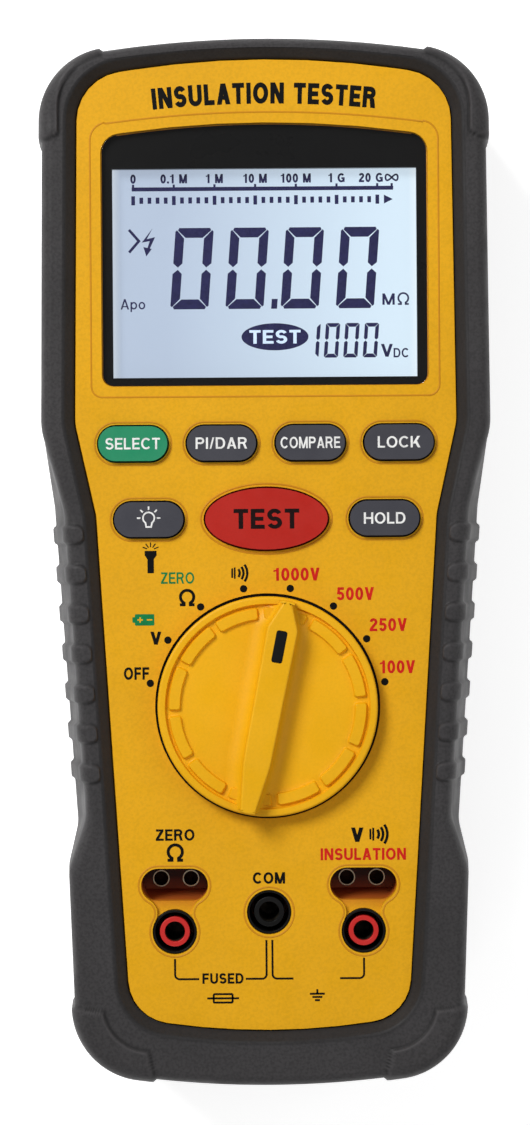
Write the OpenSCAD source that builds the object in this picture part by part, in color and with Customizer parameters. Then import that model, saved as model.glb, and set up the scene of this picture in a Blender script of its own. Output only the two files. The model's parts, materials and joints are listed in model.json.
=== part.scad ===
// Handheld insulation resistance tester: a two-shell moulded case in a rubber holster, with a
// backlit display, seven push buttons, a rotary selector, three shrouded 4 mm jacks, a battery
// door and a fold-out stand. It lies on its back: +Z comes out of the face, +Y points to the
// display end, and the origin is the middle of the footprint.

/* [Case and holster] */
// Overall width across the top corner pads
overall_w = 92; // [91:0.5:93]
// Overall length from end to end
overall_l = 212; // [210:0.5:214]
// Height of the holster's front border above the back
border_z = 46; // [45.6:0.1:46.4]
// Height of the yellow face above the back
face_z = 44; // [43.8:0.1:44.2]
// Height of the joint between the front and rear shells
split_z = 22; // [21:0.5:22]
// Height of the holster's widest level
widest_z = 29; // [26:1:32]
// Rubber left between the front edge and the case
holster_wall = 2.6; // [2.2:0.1:3]
// Thickness of the case walls
case_wall = 2; // [1.6:0.1:2.2]
// How far the corner pads and grip ribs stand out of the holster
pad_proud = 0.7; // [0.4:0.1:0.9]
// Number of grip ribs down each side
rib_count = 7; // [5:1:7]
// Distance from one grip rib to the next
rib_pitch = 8.02; // [6:0.01:8.1]
// Width of a grip rib
rib_w = 3.5; // [2.5:0.1:4]

/* [Display] */
// Width of the display lens
lens_w = 66; // [65:0.5:67]
// Lowest edge of the display lens along Y
lens_y0 = 35.4; // [35:0.1:36]
// Top of the arched display lens along Y
lens_y1 = 88.6; // [88:0.1:89]
// Width of the visible part of the display
window_w = 61.5; // [60:0.5:62]
// Height of the visible part of the display
window_h = 41.8; // [40:0.1:42]
// Middle of the visible part of the display along Y
window_y = 58.1; // [57.8:0.1:58.6]

/* [Buttons] */
// Length of a small button
button_l = 13.9; // [13:0.1:14.2]
// Width of a small button
button_w = 7; // [6.5:0.1:7.2]
// Length of the oval test button
test_l = 24.7; // [23:0.1:25]
// Width of the oval test button
test_w = 12.4; // [11.5:0.1:12.6]
// Travel of every button
button_travel = 1; // [0.6:0.1:1]
// Gap between a button and its hole
button_gap = 0.35; // [0.3:0.05:0.4]

/* [Selector] */
// Radius of the selector knob
knob_r = 22.1; // [21.8:0.1:22.4]
// Middle of the selector along Y
knob_y = -29.1; // [-29.6:0.1:-28.8]
// Top of the knob's handle above the back, which is the overall depth
knob_top_z = 52; // [51:0.5:54]
// Turn of the pointer clockwise from straight up, at rest
pointer_turn = 11.25; // [11.25]
// Angle from one selector position to the next
detent_pitch = 22.5; // [22.5]
// Radius of the selector shaft
shaft_r = 5.94; // [5.92:0.01:5.96]

/* [Jacks] */
// Distance between neighbouring jacks across the face
jack_pitch = 19.05; // [19.05]
// Radius of the bore that takes a 4 mm plug
jack_bore_r = 2.03; // [2.02:0.01:2.04]
// Radius of the round hole around a jack
jack_hole_r = 4.5; // [4.4:0.05:4.5]
// Common jack along Y
common_y = -70.7; // [-71:0.1:-70.4]
// Outer jacks along Y
outer_y = -74.6; // [-74.8:0.1:-74.4]
// Length of the two-contact recess above an outer jack
recess_l = 13.5; // [13:0.1:13.8]
// Width of the two-contact recess
recess_w = 6.8; // [6.4:0.1:7]
// Distance between the two contacts in a recess
contact_pitch = 6.1; // [6:0.1:6.3]

/* [Stand and batteries] */
// Width of the stand
stand_w = 43; // [40:1:43]
// Length of the stand from its hinge to its free end
stand_l = 59.5; // [56:0.5:60]
// Hinge of the stand along Y
stand_y = 82; // [81:0.5:82]
// Radius of the stand's hinge pins
stand_pin_r = 1.3; // [1.2:0.05:1.3]
// Number of battery cells side by side
cell_count = 4; // [4]
// Radius of a battery cell
cell_r = 7.1; // [6.9:0.05:7.15]
// Length of a battery cell, without its terminal
cell_l = 49; // [48.5:0.1:49.5]

/* [Hidden] */
$fn = 48;

// The outlines below are drawn at this width and length, and stretched to the overall size
drawn_w = 92;
drawn_l = 212;
stretch = [overall_w / drawn_w, overall_l / drawn_l];
// Steps on each rounded corner of an outline
corner_steps = 6;
eps = 0.01;

// Right half of the holster at its widest level, from the jack end: x, y and corner radius
wide_half = [[0, -107.65, 200], [39.3, -102.6, 15], [41.2, -62, 7], [39.2, -53.5, 9],
             [43.6, 11.5, 16], [46, 27.5, 14], [45.1, 101.8, 15], [0, 108.37, 224]];
// The same corners at the front edge, where the waist is cut back
front_half = [[0, -107.33, 200], [38.9, -102.35, 14.5], [40.4, -62, 7], [36.9, -51.5, 9],
              [40.9, 10.5, 16], [45.4, 27, 14], [44.7, 101.5, 14.5], [0, 107.8, 224]];
// The raised yellow face
panel_half = [[0, -95.9, 140], [28, -91.8, 9], [34.3, 9.5, 10], [38.4, 28, 10],
              [37.6, 97.6, 10], [0, 103.2, 181]];

// Heights and setbacks that round the holster's back and front edges: z, then inset
back_edge = [[-1, 3.13], [0.6, 1], [1.6, 0.5], [4, 0.3]];
front_edge = [[3.4, 0], [1.9, 0.35], [0.8, 1], [-1, 3.7]];
// Slope of the holster's opening around the face
lip_slope = 1.9;
lip_gap = 0.3;

// Case levels
floor_z = 1;
back_step_z = 3.2;
back_step_in = 1.8;
shoulder_z = border_z - 4.4;
inner_top_z = shoulder_z - case_wall;
face_t = 2.2;
face_under_z = face_z - face_t;
deep_inner_y = 32;
case_gap = 0.1;

// Circuit boards
board_t = 1.6;
main_z = 33;
main_top = main_z + board_t;
power_z = 22.5;
power_top = power_z + board_t;

// Fixings
boss_r = 3.2;
boss_places = [[34.5, 90], [29.5, -89]];
case_screw_r = 1.4;
case_screw_head = [2.6, 6, 2];
main_post_places = [[37.4, 50], [29.5, -48]];
power_post_places = [[28.5, 57], [28.5, -80]];
board_screw_r = 1;
board_screw_head_r = 1.9;
board_screw_head_h = 1.4;

// Display stack
lens_t = 1.6;
lens_pocket_z = face_z - 1.8;
lens_gap = 0.1;
lens_arch = 2.6;
glass_t = 1.8;
backlight_t = 2.4;
holder_w = 70;
holder_y = [33, 86];
glass_w = 66.4;
glass_y = [34.2, 82];

// Buttons: middle of each one
row_1_y = 23.9;
row_2_y = 8.6;
button_top_z = face_z + 0.3 + button_travel;
flange_out = 1;
flange_top_z = face_under_z - 0.3;
flange_t = 1.2;
stem_r = 2;
mat_t = 0.8;
dome_top_z = main_top + 2;

// Selector
knob_recess_r = knob_r + 0.6;
knob_recess_d = 0.7;
knob_bottom_z = face_z - knob_recess_d + 0.3;
knob_disc_z = face_z + 3.8;
handle_w = 6.2;
handle_flare = 3.4;
shaft_hole_r = 6;
rotor_r = 17.5;
rotor_z = 36.2;
rotor_t = 3;
ball_r = 1.5;
ball_place = 17.85;
ring_in_r = 19.6;
ring_out_r = 21.8;
stops = 360 / detent_pitch;

// Jacks
block_z = 25.2;
block_top_z = 31.6;
block_x = 26;
block_y = [-81.5, -58.5];
tube_r = jack_hole_r - 0.07;
tube_in_r = 3.95;
tube_top_z = face_z - 0.5;
sleeve_r = 3.05;
sleeve_top_z = face_z - 1;
contact_r = 2.5;
contact_bottom_z = 27;
contact_top_z = 41.5;
recess_wall = 1.2;
recess_y = outer_y + 9.4;
recess_up = recess_y - outer_y;
recess_slope = 1.6;
waist_r = 3;
neck_d = [0.9, 3];
neck_pad_t = 1.7;
probe_contact_r = 1.7;
probe_contact_t = 0.22;

// Stand
stand_t = 2.7;
stand_z = 1.3;
hinge_z = 3;
knuckle_r = 1.7;
pocket_top_z = 5;
pocket_gap = 0.4;
pin_gap = 0.05;
pin_out = 2.8;

// Battery bay
cell_pitch = 14.6;
bay_x = 30;
bay_y = [-44, 14.5];
bay_roof_z = 19.4;
bay_wall = 1.2;
door_x = 30.4;
door_y = [-53.8, 15.7];
door_z = 1.2;
door_t = 2;
door_screw_x = 22;
door_screw_y = -50.3;
cell_z = 11;

// Torch in the display end
torch_z = 29;
torch_lens_r = 3.6;
torch_hole_r = 3.7;
torch_opening_r = 4.1;

// ---- Outline helpers ----

function unit(v) = v / norm(v);
function flat(v) = [v.x, v.y];
function left_of(v) = [-v.y, v.x];

// A closed outline from its right half, with the end points on the centre line
function whole(half) = concat(
    [for (v = half) [v.x * stretch.x, v.y * stretch.y, v.z]],
    [for (i = [len(half) - 2:-1:1]) [-half[i].x * stretch.x, half[i].y * stretch.y, half[i].z]]);

// Moves every edge of an outline inwards by d and keeps the corners concentric
function inset(path, d) = [
    for (i = [0:len(path) - 1])
        let (n = len(path), p = flat(path[i]),
             into = unit(p - flat(path[(i + n - 1) % n])),
             out = unit(flat(path[(i + 1) % n]) - p),
             shift = (left_of(into) + left_of(out)) * d / (1 + into * out),
             bend = into.x * out.y - into.y * out.x)
        [p.x + shift.x, p.y + shift.y, max(path[i].z - sign(bend) * d, 0.2)]];

// Replaces every corner by a tangent arc of its own radius
function rounded(path) = [
    for (i = [0:len(path) - 1])
        let (n = len(path), p = flat(path[i]), r = path[i].z,
             back = unit(flat(path[(i + n - 1) % n]) - p),
             ahead = unit(flat(path[(i + 1) % n]) - p),
             half = acos(back * ahead) / 2,
             centre = p + unit(back + ahead) * r / sin(half),
             start = p + back * r / tan(half) - centre,
             turn = sign(back.y * ahead.x - back.x * ahead.y) * (180 - 2 * half))
        for (k = [0:corner_steps])
            let (a = turn * k / corner_steps)
            centre + [start.x * cos(a) - start.y * sin(a), start.x * sin(a) + start.y * cos(a)]];

function wide_outline(d) = rounded(inset(whole(wide_half), d));
function front_outline(d) = rounded(inset(whole(front_half), d));
function case_outline(d) = front_outline(holster_wall + d);
function panel_outline(d) = rounded(inset(whole(panel_half), d));

// A solid skinned over outlines with equal numbers of points: each section is [z, points]
module loft(sections) {
    n = len(sections[0][1]);
    last = len(sections) - 1;
    polyhedron(
        points = [for (s = sections) for (p = s[1]) [p.x, p.y, s[0]]],
        faces = concat(
            [[for (i = [0:n - 1]) i]],
            [for (k = [0:last - 1]) for (i = [0:n - 1])
                [k * n + i, (k + 1) * n + i, (k + 1) * n + (i + 1) % n]],
            [for (k = [0:last - 1]) for (i = [0:n - 1])
                [k * n + i, (k + 1) * n + (i + 1) % n, k * n + (i + 1) % n]],
            [[for (i = [n - 1:-1:0]) last * n + i]]),
        convexity = 6);
}

module prism(points, z0, z1) {
    translate([0, 0, z0])
        linear_extrude(z1 - z0)
            polygon(points);
}

module block(x0, x1, y0, y1, z0, z1) {
    translate([x0, y0, z0])
        cube([x1 - x0, y1 - y0, z1 - z0]);
}

// Flat shape of a slot with round ends, along X
module slot_shape(l, w) {
    square([l - w, w], center = true);
    for (side = [-1, 1])
        translate([side * (l - w) / 2, 0])
            circle(d = w);
}

module rounded_rect(l, w, r) {
    square([l - 2 * r, w], center = true);
    square([l, w - 2 * r], center = true);
    for (sx = [-1, 1], sy = [-1, 1])
        translate([sx * (l / 2 - r), sy * (w / 2 - r)])
            circle(r);
}

module oval_shape(l, w) {
    polygon([for (a = [0:7.5:359]) [cos(a) * l / 2, sin(a) * w / 2]]);
}

module disc(x, y, z0, z1, r) {
    translate([x, y, z0])
        cylinder(h = z1 - z0, r = r);
}

module rod_x(x0, x1, y, z, r) {
    translate([x0, y, z])
        rotate([0, 90, 0])
            cylinder(h = x1 - x0, r = r);
}

module rod_y(x, y0, y1, z, r) {
    translate([x, y1, z])
        rotate([90, 0, 0])
            cylinder(h = y1 - y0, r = r);
}

module in_corners(places) {
    for (p = places, side = [-1, 1])
        translate([side * p.x, p.y, 0])
            children();
}

// A round wire wound along Z as a closed sweep
module coil(r, wire_r, pitch, turns) {
    sides = 6;
    per_turn = 10;
    rings = round(turns * per_turn);
    polyhedron(
        points = [
            for (i = [0:rings], k = [0:sides - 1])
                let (a = 360 * i / per_turn, b = 360 * k / sides, d = r + wire_r * cos(b))
                [d * cos(a), d * sin(a), pitch * i / per_turn + wire_r * sin(b)]],
        faces = concat(
            [[for (k = [0:sides - 1]) k]],
            [for (i = [0:rings - 1]) for (k = [0:sides - 1])
                [i * sides + k, (i + 1) * sides + k, (i + 1) * sides + (k + 1) % sides]],
            [for (i = [0:rings - 1]) for (k = [0:sides - 1])
                [i * sides + k, (i + 1) * sides + (k + 1) % sides, i * sides + (k + 1) % sides]],
            [[for (k = [sides - 1:-1:0]) rings * sides + k]]));
}

// ---- Holster, case and stand ----

// Children cut flat at heights z0 and z1
module between(z0, z1) {
    intersection() {
        children();
        block(-overall_w, overall_w, -overall_l, overall_l, z0, z1);
    }
}

module holster_skin(out) {
    between(0, border_z + out)
        loft(concat(
            [for (e = back_edge) [e[0], wide_outline(e[1] - out)]],
            [[widest_z, wide_outline(-out)]],
            [for (e = front_edge) [border_z + out - e[0], front_outline(e[1] - out)]]));
}

// Points of rounded corner k of an outline, run on past both ends of its arc
function corner(points, k, before, after) =
    let (n = corner_steps + 1, a = k * n, b = a + corner_steps,
         first = points[a], last = points[b])
    concat([first + unit(points[a - 1] - first) * before],
           [for (i = [a:b]) points[i]],
           [last + unit(points[b + 1] - last) * after]);

// A raised pad wrapped round one corner, from the back edge to the front border
module corner_pad(k, reach, before, after) {
    pad_bottom_z = 5;
    levels = concat(
        [[pad_bottom_z - 1, 0, 0], [widest_z, 0, 0]],
        [for (e = front_edge) [border_z + pad_proud - e[0], e[1], 1]]);
    between(pad_bottom_z, border_z + pad_proud)
        loft([for (v = levels)
            let (out = v[1] - pad_proud,
                 outer = corner(v[2] == 0 ? wide_outline(out) : front_outline(out), k,
                                before, after),
                 inner = corner(v[2] == 0 ? wide_outline(reach) : front_outline(reach), k,
                                before, after))
            [v[0], concat(outer, [for (i = [len(inner) - 1:-1:0]) inner[i]])]]);
}

// Profile of the holster's side at Y, pushed outwards by d: x and z pairs from the back up
function side_profile(y, d) =
    let (t = (y - wide_half[3].y) / (wide_half[4].y - wide_half[3].y),
         wide_x = wide_half[3].x + t * (wide_half[4].x - wide_half[3].x),
         front_x = front_half[3].x + t * (front_half[4].x - front_half[3].x))
    [[wide_x - 0.2 + d, 13], [wide_x + d, widest_z], [front_x + d, border_z - 3.4 + d],
     [front_x - 0.5 + d, border_z - 1.2 + d], [front_x - 2 + d * 0.5, border_z + d]];

// One grip rib: the side's own profile, stood out a little and cut to the rib's width
module grip_rib(y) {
    sunk = 1.2;
    reach = 3;
    outer = side_profile(y, pad_proud);
    inner = side_profile(y, -sunk);
    top = outer[len(outer) - 1];
    translate([0, y + rib_w / 2, 0])
        rotate([90, 0, 0])
            linear_extrude(rib_w)
                polygon(concat(outer, [[top.x - reach, top.y], [top.x - reach, top.y - sunk - 1]],
                               [for (i = [len(inner) - 2:-1:0]) inner[i]]));
}

module holster() {
    first_rib_y = 5.7;
    color("dimgray")
        difference() {
            union() {
                holster_skin(0);
                for (side = [0, 1])
                    mirror([side, 0, 0]) {
                        corner_pad(1, 7.5, 2.4, 0.6);
                        corner_pad(6, 3.9, 3.3, 0.6);
                        for (i = [0:rib_count - 1])
                            grip_rib(first_rib_y - i * rib_pitch);
                    }
            }
            prism(case_outline(-case_gap), back_step_z - case_gap, shoulder_z + case_gap);
            prism(case_outline(back_step_in - case_gap), -1, back_step_z);
            loft([[shoulder_z, panel_outline(-lip_gap)], [face_z, panel_outline(-lip_gap)],
                  [border_z + 1, panel_outline(-lip_gap - lip_slope * 1.5)]]);
            rod_y(0, 90, overall_l, torch_z, torch_opening_r);
        }
}

// Along X, over a flat shape of Y and Z
module along_x(l) {
    rotate([90, 0, 90])
        linear_extrude(l, center = true)
            children();
}

// Leaning wall of a recess, on the side of its jack
module recess_slope_wedge() {
    wall = -recess_w / 2;
    along_x(2 * recess_l)
        polygon([[wall - 2, block_top_z - 2], [wall + recess_slope, block_top_z - 2],
                 [wall + recess_slope, block_top_z], [wall, face_z - neck_d[1]],
                 [wall - 2, face_z - neck_d[1]]]);
}

// Waist between a jack and its recess: the curve either side meets both of them smoothly
module waist_shape() {
    end_x = (recess_l - recess_w) / 2;
    to_jack = jack_hole_r + waist_r;
    to_end = recess_w / 2 + waist_r;
    apart = norm([end_x, recess_up]);
    along = (to_jack * to_jack - to_end * to_end + apart * apart) / (2 * apart);
    off = sqrt(to_jack * to_jack - along * along);
    waist_x = (along * end_x + off * recess_up) / apart;
    waist_y = (along * recess_up - off * end_x) / apart;
    difference() {
        polygon([[0, 0], [waist_x, waist_y], [end_x, recess_up], [-end_x, recess_up],
                 [-waist_x, waist_y]]);
        for (side = [-1, 1])
            translate([side * waist_x, waist_y])
                circle(waist_r - 0.05);
    }
}

// Floor that falls from a jack to its recess
module neck() {
    edge_y = recess_up - recess_w / 2;
    intersection() {
        translate([0, 0, face_z - neck_d[1] - 1])
            linear_extrude(neck_d[1] + 2)
                waist_shape();
        along_x(2 * recess_l)
            polygon([[0, face_z + 2], [0, face_z - neck_d[0]],
                     [edge_y - 2.4, face_z - neck_d[0]], [edge_y, face_z - neck_d[1]],
                     [recess_up, face_z - neck_d[1]], [recess_up, face_z + 2]]);
    }
}

module jack_openings() {
    for (side = [-1, 1]) {
        disc(side * jack_pitch, outer_y, inner_top_z - 4, face_z + 1, jack_hole_r);
        translate([side * jack_pitch, recess_y, 0])
            difference() {
                translate([0, 0, block_top_z - 1])
                    linear_extrude(face_z)
                        slot_shape(recess_l, recess_w);
                recess_slope_wedge();
            }
        translate([side * jack_pitch, outer_y, 0])
            neck();
    }
    disc(0, common_y, inner_top_z - 4, face_z + 1, jack_hole_r);
}

module button_places_row_1() {
    for (x = [-26.8, -8.95, 8.95, 26.8])
        translate([x, row_1_y, 0])
            children();
}

module button_places_row_2() {
    for (x = [-23.7, 23.8])
        translate([x, row_2_y, 0])
            children();
}

module button_hole(l, w) {
    translate([0, 0, face_under_z - 1])
        linear_extrude(face_t + 2)
            slot_shape(l + 2 * button_gap, w + 2 * button_gap);
}

module lens_shape(gap) {
    half = lens_w / 2 - gap;
    y0 = lens_y0 + gap;
    y1 = lens_y1 - gap;
    arch_r = (half * half + lens_arch * lens_arch) / (2 * lens_arch);
    polygon(rounded([[-half, y0, 2.4], [half, y0, 2.4], [half, y1 - lens_arch, 4],
                     [0, y1 + 1.9, arch_r], [-half, y1 - lens_arch, 4]]));
}

// A ring under the face with one notch for every possible stop
module detent_ring() {
    ring_z = 37.2;
    notch_r = 1.4;
    translate([0, knob_y, ring_z])
        linear_extrude(face_under_z - ring_z + eps)
            difference() {
                circle(ring_out_r, $fn = 96);
                circle(ring_in_r, $fn = 96);
                for (i = [0:stops - 1])
                    rotate(pointer_turn + i * 360 / stops)
                        translate([0, ring_in_r])
                            circle(notch_r);
            }
}

module front_case() {
    color("goldenrod")
        difference() {
            union() {
                difference() {
                    union() {
                        prism(case_outline(0), split_z, shoulder_z);
                        prism(panel_outline(0), shoulder_z - eps, face_z);
                    }
                    prism(case_outline(case_wall), split_z - 1, inner_top_z);
                    intersection() {
                        prism(panel_outline(1.6), split_z, face_under_z);
                        block(-overall_w, overall_w, -overall_l, deep_inner_y, 0, face_z);
                    }
                }
                in_corners(boss_places)
                    disc(0, 0, split_z, inner_top_z + eps, boss_r);
                in_corners(main_post_places)
                    disc(0, 0, main_top, inner_top_z + eps, 2);
                for (side = [-1, 1]) {
                    translate([side * jack_pitch, recess_y, block_top_z + case_gap])
                        linear_extrude(face_z - block_top_z - 1)
                            slot_shape(recess_l + 2 * recess_wall, recess_w + 2 * recess_wall);
                    // Thicker face under the neck
                    block(side * jack_pitch - recess_l / 3, side * jack_pitch + recess_l / 3,
                          outer_y, recess_y, face_under_z - neck_pad_t, face_under_z + eps);
                }
                detent_ring();
            }
            jack_openings();
            button_places_row_1()
                button_hole(button_l, button_w);
            button_places_row_2()
                button_hole(button_l, button_w);
            translate([0, row_2_y, face_under_z - 1])
                linear_extrude(face_t + 2)
                    oval_shape(test_l + 2 * button_gap, test_w + 2 * button_gap);
            translate([0, 0, lens_pocket_z])
                linear_extrude(face_z)
                    lens_shape(0);
            translate([0, window_y, inner_top_z - 1])
                linear_extrude(face_z)
                    rounded_rect(window_w + 2, window_h + 2, 1);
            disc(0, knob_y, face_z - knob_recess_d, face_z + 1, knob_recess_r);
            disc(0, knob_y, inner_top_z - 1, face_z + 1, shaft_hole_r);
            in_corners(boss_places)
                disc(0, 0, split_z - 1, split_z + 13, case_screw_r + 0.02);
            in_corners(main_post_places)
                disc(0, 0, main_top - 1, inner_top_z, board_screw_r + 0.02);
            rod_y(0, 90, overall_l, torch_z, torch_hole_r);
        }
}

module stand_pocket() {
    finger_r = 8;
    block(-stand_w / 2 - pocket_gap, stand_w / 2 + pocket_gap,
          stand_y - stand_l - 2, stand_y + 2.3, 0, pocket_top_z);
    disc(0, stand_y - stand_l - 2, 0, pocket_top_z, finger_r);
}

module rear_case() {
    wall_in_z = back_step_z + case_wall;
    color("goldenrod")
        difference() {
            union() {
                difference() {
                    union() {
                        prism(case_outline(0), back_step_z, split_z);
                        prism(case_outline(back_step_in), floor_z, back_step_z + eps);
                    }
                    prism(case_outline(case_wall), wall_in_z, split_z + 1);
                }
                // Tub that holds the cells, with the ledge that takes the door screws
                block(-bay_x - bay_wall, bay_x + bay_wall, bay_y[0] - bay_wall,
                      bay_y[1] + bay_wall, wall_in_z - eps, bay_roof_z + bay_wall);
                block(-door_screw_x - 4, door_screw_x + 4, door_y[0], bay_y[0],
                      wall_in_z - eps, 12);
                // Box over the stand's pocket
                block(-stand_w / 2 - 5, stand_w / 2 + 5, stand_y - stand_l - 12, stand_y + 5,
                      wall_in_z - eps, pocket_top_z + case_wall);
                in_corners(boss_places)
                    disc(0, 0, wall_in_z - eps, split_z, boss_r);
                in_corners(power_post_places)
                    disc(0, 0, wall_in_z - eps, power_z, 2.4);
            }
            block(-bay_x, bay_x, bay_y[0], bay_y[1], 0, bay_roof_z);
            block(-door_x - 0.2, door_x + 0.2, door_y[0] - 0.2, door_y[1] + 0.2, 0,
                  door_z + door_t);
            // Notches behind the door's tongues
            for (side = [-1, 1])
                block(side * 18 - 4.2, side * 18 + 4.2, bay_y[1], door_y[1] + 1.9,
                      door_z + 1, door_z + door_t + 0.2);
            stand_pocket();
            rod_x(-stand_w / 2 - pin_out - 0.2, stand_w / 2 + pin_out + 0.2, stand_y, hinge_z,
                  stand_pin_r + pin_gap);
            in_corners([[door_screw_x, door_screw_y]])
                disc(0, 0, 0, 10, 1.12);
            in_corners(boss_places) {
                disc(0, 0, -1, case_screw_head[1] + case_screw_head[2], 3);
                disc(0, 0, 0, split_z + 1, 1.7);
            }
            in_corners(power_post_places)
                disc(0, 0, 14, split_z + 1, board_screw_r + 0.02);
            // Slots for the two battery tabs
            for (side = [-1, 1])
                block(side * 22 - 2.2, side * 22 + 2.2, bay_y[0] + 0.1, bay_y[0] + 0.7,
                      bay_roof_z - 1, bay_roof_z + 2);
        }
}

module battery_cover() {
    screw_sink_r = 2.4;
    color("goldenrod")
        difference() {
            union() {
                translate([0, (door_y[0] + door_y[1]) / 2, door_z])
                    linear_extrude(door_t)
                        rounded_rect(2 * door_x, door_y[1] - door_y[0], 2.5);
                for (side = [-1, 1])
                    block(side * 18 - 4, side * 18 + 4, bay_y[1] + 0.2, door_y[1] + 1.6,
                          door_z + 1.1, door_z + door_t);
            }
            in_corners([[door_screw_x, door_screw_y]]) {
                disc(0, 0, 0, door_z + door_t + 1, 1.3);
                disc(0, 0, 0, door_z + 1.1, screw_sink_r);
            }
            // Shallow grip lines at the end that lifts
            for (i = [0:4])
                block(-9, 9, 2 + i * 2.4, 3 + i * 2.4, door_z - 1, door_z + 0.4);
        }
}

module battery_cover_screws() {
    color("silver")
        in_corners([[door_screw_x, door_screw_y]])
            difference() {
                union() {
                    disc(0, 0, door_z + 0.1, door_z + 1.1, 2.2);
                    disc(0, 0, door_z + 1, 9.5, 1.1);
                }
                cross_recess(door_z, 0.7, 2.4, 0.5);
            }
}

module cross_recess(z, depth, l, w) {
    block(-l / 2, l / 2, -w / 2, w / 2, z - 0.1, z + depth);
    block(-w / 2, w / 2, -l / 2, l / 2, z - 0.1, z + depth);
}

module case_screws() {
    head_r = case_screw_head[0];
    head_z = case_screw_head[1];
    head_top = head_z + case_screw_head[2];
    color("silver")
        in_corners(boss_places)
            difference() {
                union() {
                    disc(0, 0, head_z, head_top, head_r);
                    disc(0, 0, head_top - eps, 34, case_screw_r);
                }
                cross_recess(head_z, 1.2, 3.2, 0.7);
            }
}

module tilt_stand() {
    free_y = stand_y - stand_l;
    foot_r = 6;
    color("goldenrod")
        difference() {
            union() {
                translate([0, (free_y + stand_y) / 2, stand_z])
                    linear_extrude(stand_t)
                        difference() {
                            rounded_rect(stand_w, stand_l, foot_r);
                            translate([-stand_w, stand_l / 2 - foot_r])
                                square([2 * stand_w, 2 * foot_r]);
                        }
                block(-stand_w / 2, stand_w / 2, stand_y - foot_r - 1, stand_y,
                      stand_z, stand_z + stand_t);
                rod_x(-stand_w / 2, stand_w / 2, stand_y, hinge_z, knuckle_r);
                rod_x(-stand_w / 2 - pin_out, stand_w / 2 + pin_out, stand_y, hinge_z,
                      stand_pin_r);
            }
            // Sunk middle and a row of grip lines near the free end
            translate([0, stand_y - 24, stand_z - 1])
                linear_extrude(1.8)
                    rounded_rect(stand_w - 12, 30, 3);
            for (i = [0:4])
                block(-10, 10, free_y + 4 + i * 2.4, free_y + 5 + i * 2.4,
                      stand_z - 1, stand_z + 0.5);
        }
}

// ---- Display ----

module display_lens() {
    color("gray", 0.4)
        translate([0, 0, lens_pocket_z])
            linear_extrude(lens_t)
                lens_shape(lens_gap);
}

module display_bezel() {
    bezel_z = inner_top_z + 1.1;
    color("black")
        translate([0, window_y, bezel_z])
            linear_extrude(lens_pocket_z - bezel_z - 0.02)
                difference() {
                    rounded_rect(window_w + 1.9, window_h + 1.9, 0.9);
                    square([window_w, window_h], center = true);
                }
}

module lcd_panel() {
    color("lightsteelblue")
        block(-glass_w / 2, glass_w / 2, glass_y[0], glass_y[1],
              inner_top_z - glass_t - 0.1, inner_top_z - 0.1);
}

module backlight_plate() {
    top = inner_top_z - glass_t - 0.1;
    color("white")
        block(-31.5, 31.5, 37.5, 81, top - backlight_t, top);
}

module lcd_holder() {
    top = inner_top_z - glass_t - 0.1;
    color("whitesmoke")
        difference() {
            block(-holder_w / 2, holder_w / 2, holder_y[0], holder_y[1], main_top, inner_top_z);
            block(-glass_w / 2 - 0.1, glass_w / 2 + 0.1, glass_y[0] - 0.1, glass_y[1] + 0.1,
                  top, inner_top_z + 1);
            block(-31.6, 31.6, 37.4, 81.1, main_top - 1, inner_top_z);
            block(-32, 32, 34.6, 36.2, main_top - 1, inner_top_z);
        }
}

module zebra_strips() {
    top = inner_top_z - glass_t - 0.1;
    color("pink")
        block(-31.8, 31.8, 34.8, 36, main_top, top);
}

// ---- Buttons ----

// A key cap with a flange under the face and a stem down to its dome
module key(x, y) {
    translate([x, y, flange_top_z - eps])
        linear_extrude(button_top_z - flange_top_z + eps)
            children(0);
    translate([x, y, flange_top_z - flange_t])
        linear_extrude(flange_t)
            children(1);
    disc(x, y, dome_top_z + 0.05, flange_top_z - flange_t + eps, stem_r);
}

module small_key(x, y) {
    key(x, y) {
        slot_shape(button_l, button_w);
        slot_shape(button_l + 2 * flange_out, button_w + 2 * flange_out);
    }
}

module select_button() {
    color("seagreen")
        small_key(-26.8, row_1_y);
}

module index_button() {
    color("slategray")
        small_key(-8.95, row_1_y);
}

module compare_button() {
    color("slategray")
        small_key(8.95, row_1_y);
}

module lock_button() {
    color("slategray")
        small_key(26.8, row_1_y);
}

module light_button() {
    color("slategray")
        small_key(-23.7, row_2_y);
}

module hold_button() {
    color("slategray")
        small_key(23.8, row_2_y);
}

module test_button() {
    color("firebrick")
        key(0, row_2_y) {
            oval_shape(test_l, test_w);
            oval_shape(test_l + 2 * flange_out, test_w + 2 * flange_out);
        }
}

module keypad_mat() {
    mat_y = [2.6, 29.6];
    dome_base_r = 3.4;
    color("gainsboro") {
        translate([0, (mat_y[0] + mat_y[1]) / 2, main_top])
            linear_extrude(mat_t)
                rounded_rect(67, mat_y[1] - mat_y[0], 2);
        button_places_row_1()
            dome(dome_base_r);
        button_places_row_2()
            dome(dome_base_r);
        translate([0, row_2_y, 0])
            dome(dome_base_r);
    }
}

module dome(base_r) {
    translate([0, 0, main_top + mat_t - eps])
        cylinder(h = dome_top_z - main_top - mat_t + eps, r1 = base_r, r2 = stem_r);
}

// ---- Selector ----

module about_knob(turn) {
    translate([0, knob_y, 0])
        rotate(turn)
            children();
}

// Flat shape of the handle, with its pointed end towards +Y and a narrower foot
module handle_shape(w) {
    tip = knob_r - 0.3;
    shoulder = tip - 5.9;
    waist = [0.45 * w, -11.5];
    foot = 0.24 * w;
    point = 0.7;
    polygon([[-foot, -tip + 0.3], [0, -tip], [foot, -tip + 0.3], waist, [w / 2, shoulder],
             [point, tip], [-point, tip], [-w / 2, shoulder], [-waist[0], waist[1]]]);
}

module insert_shape() {
    translate([0, 12.3])
        rounded_rect(2.1, 6.4, 0.5);
}

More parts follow.
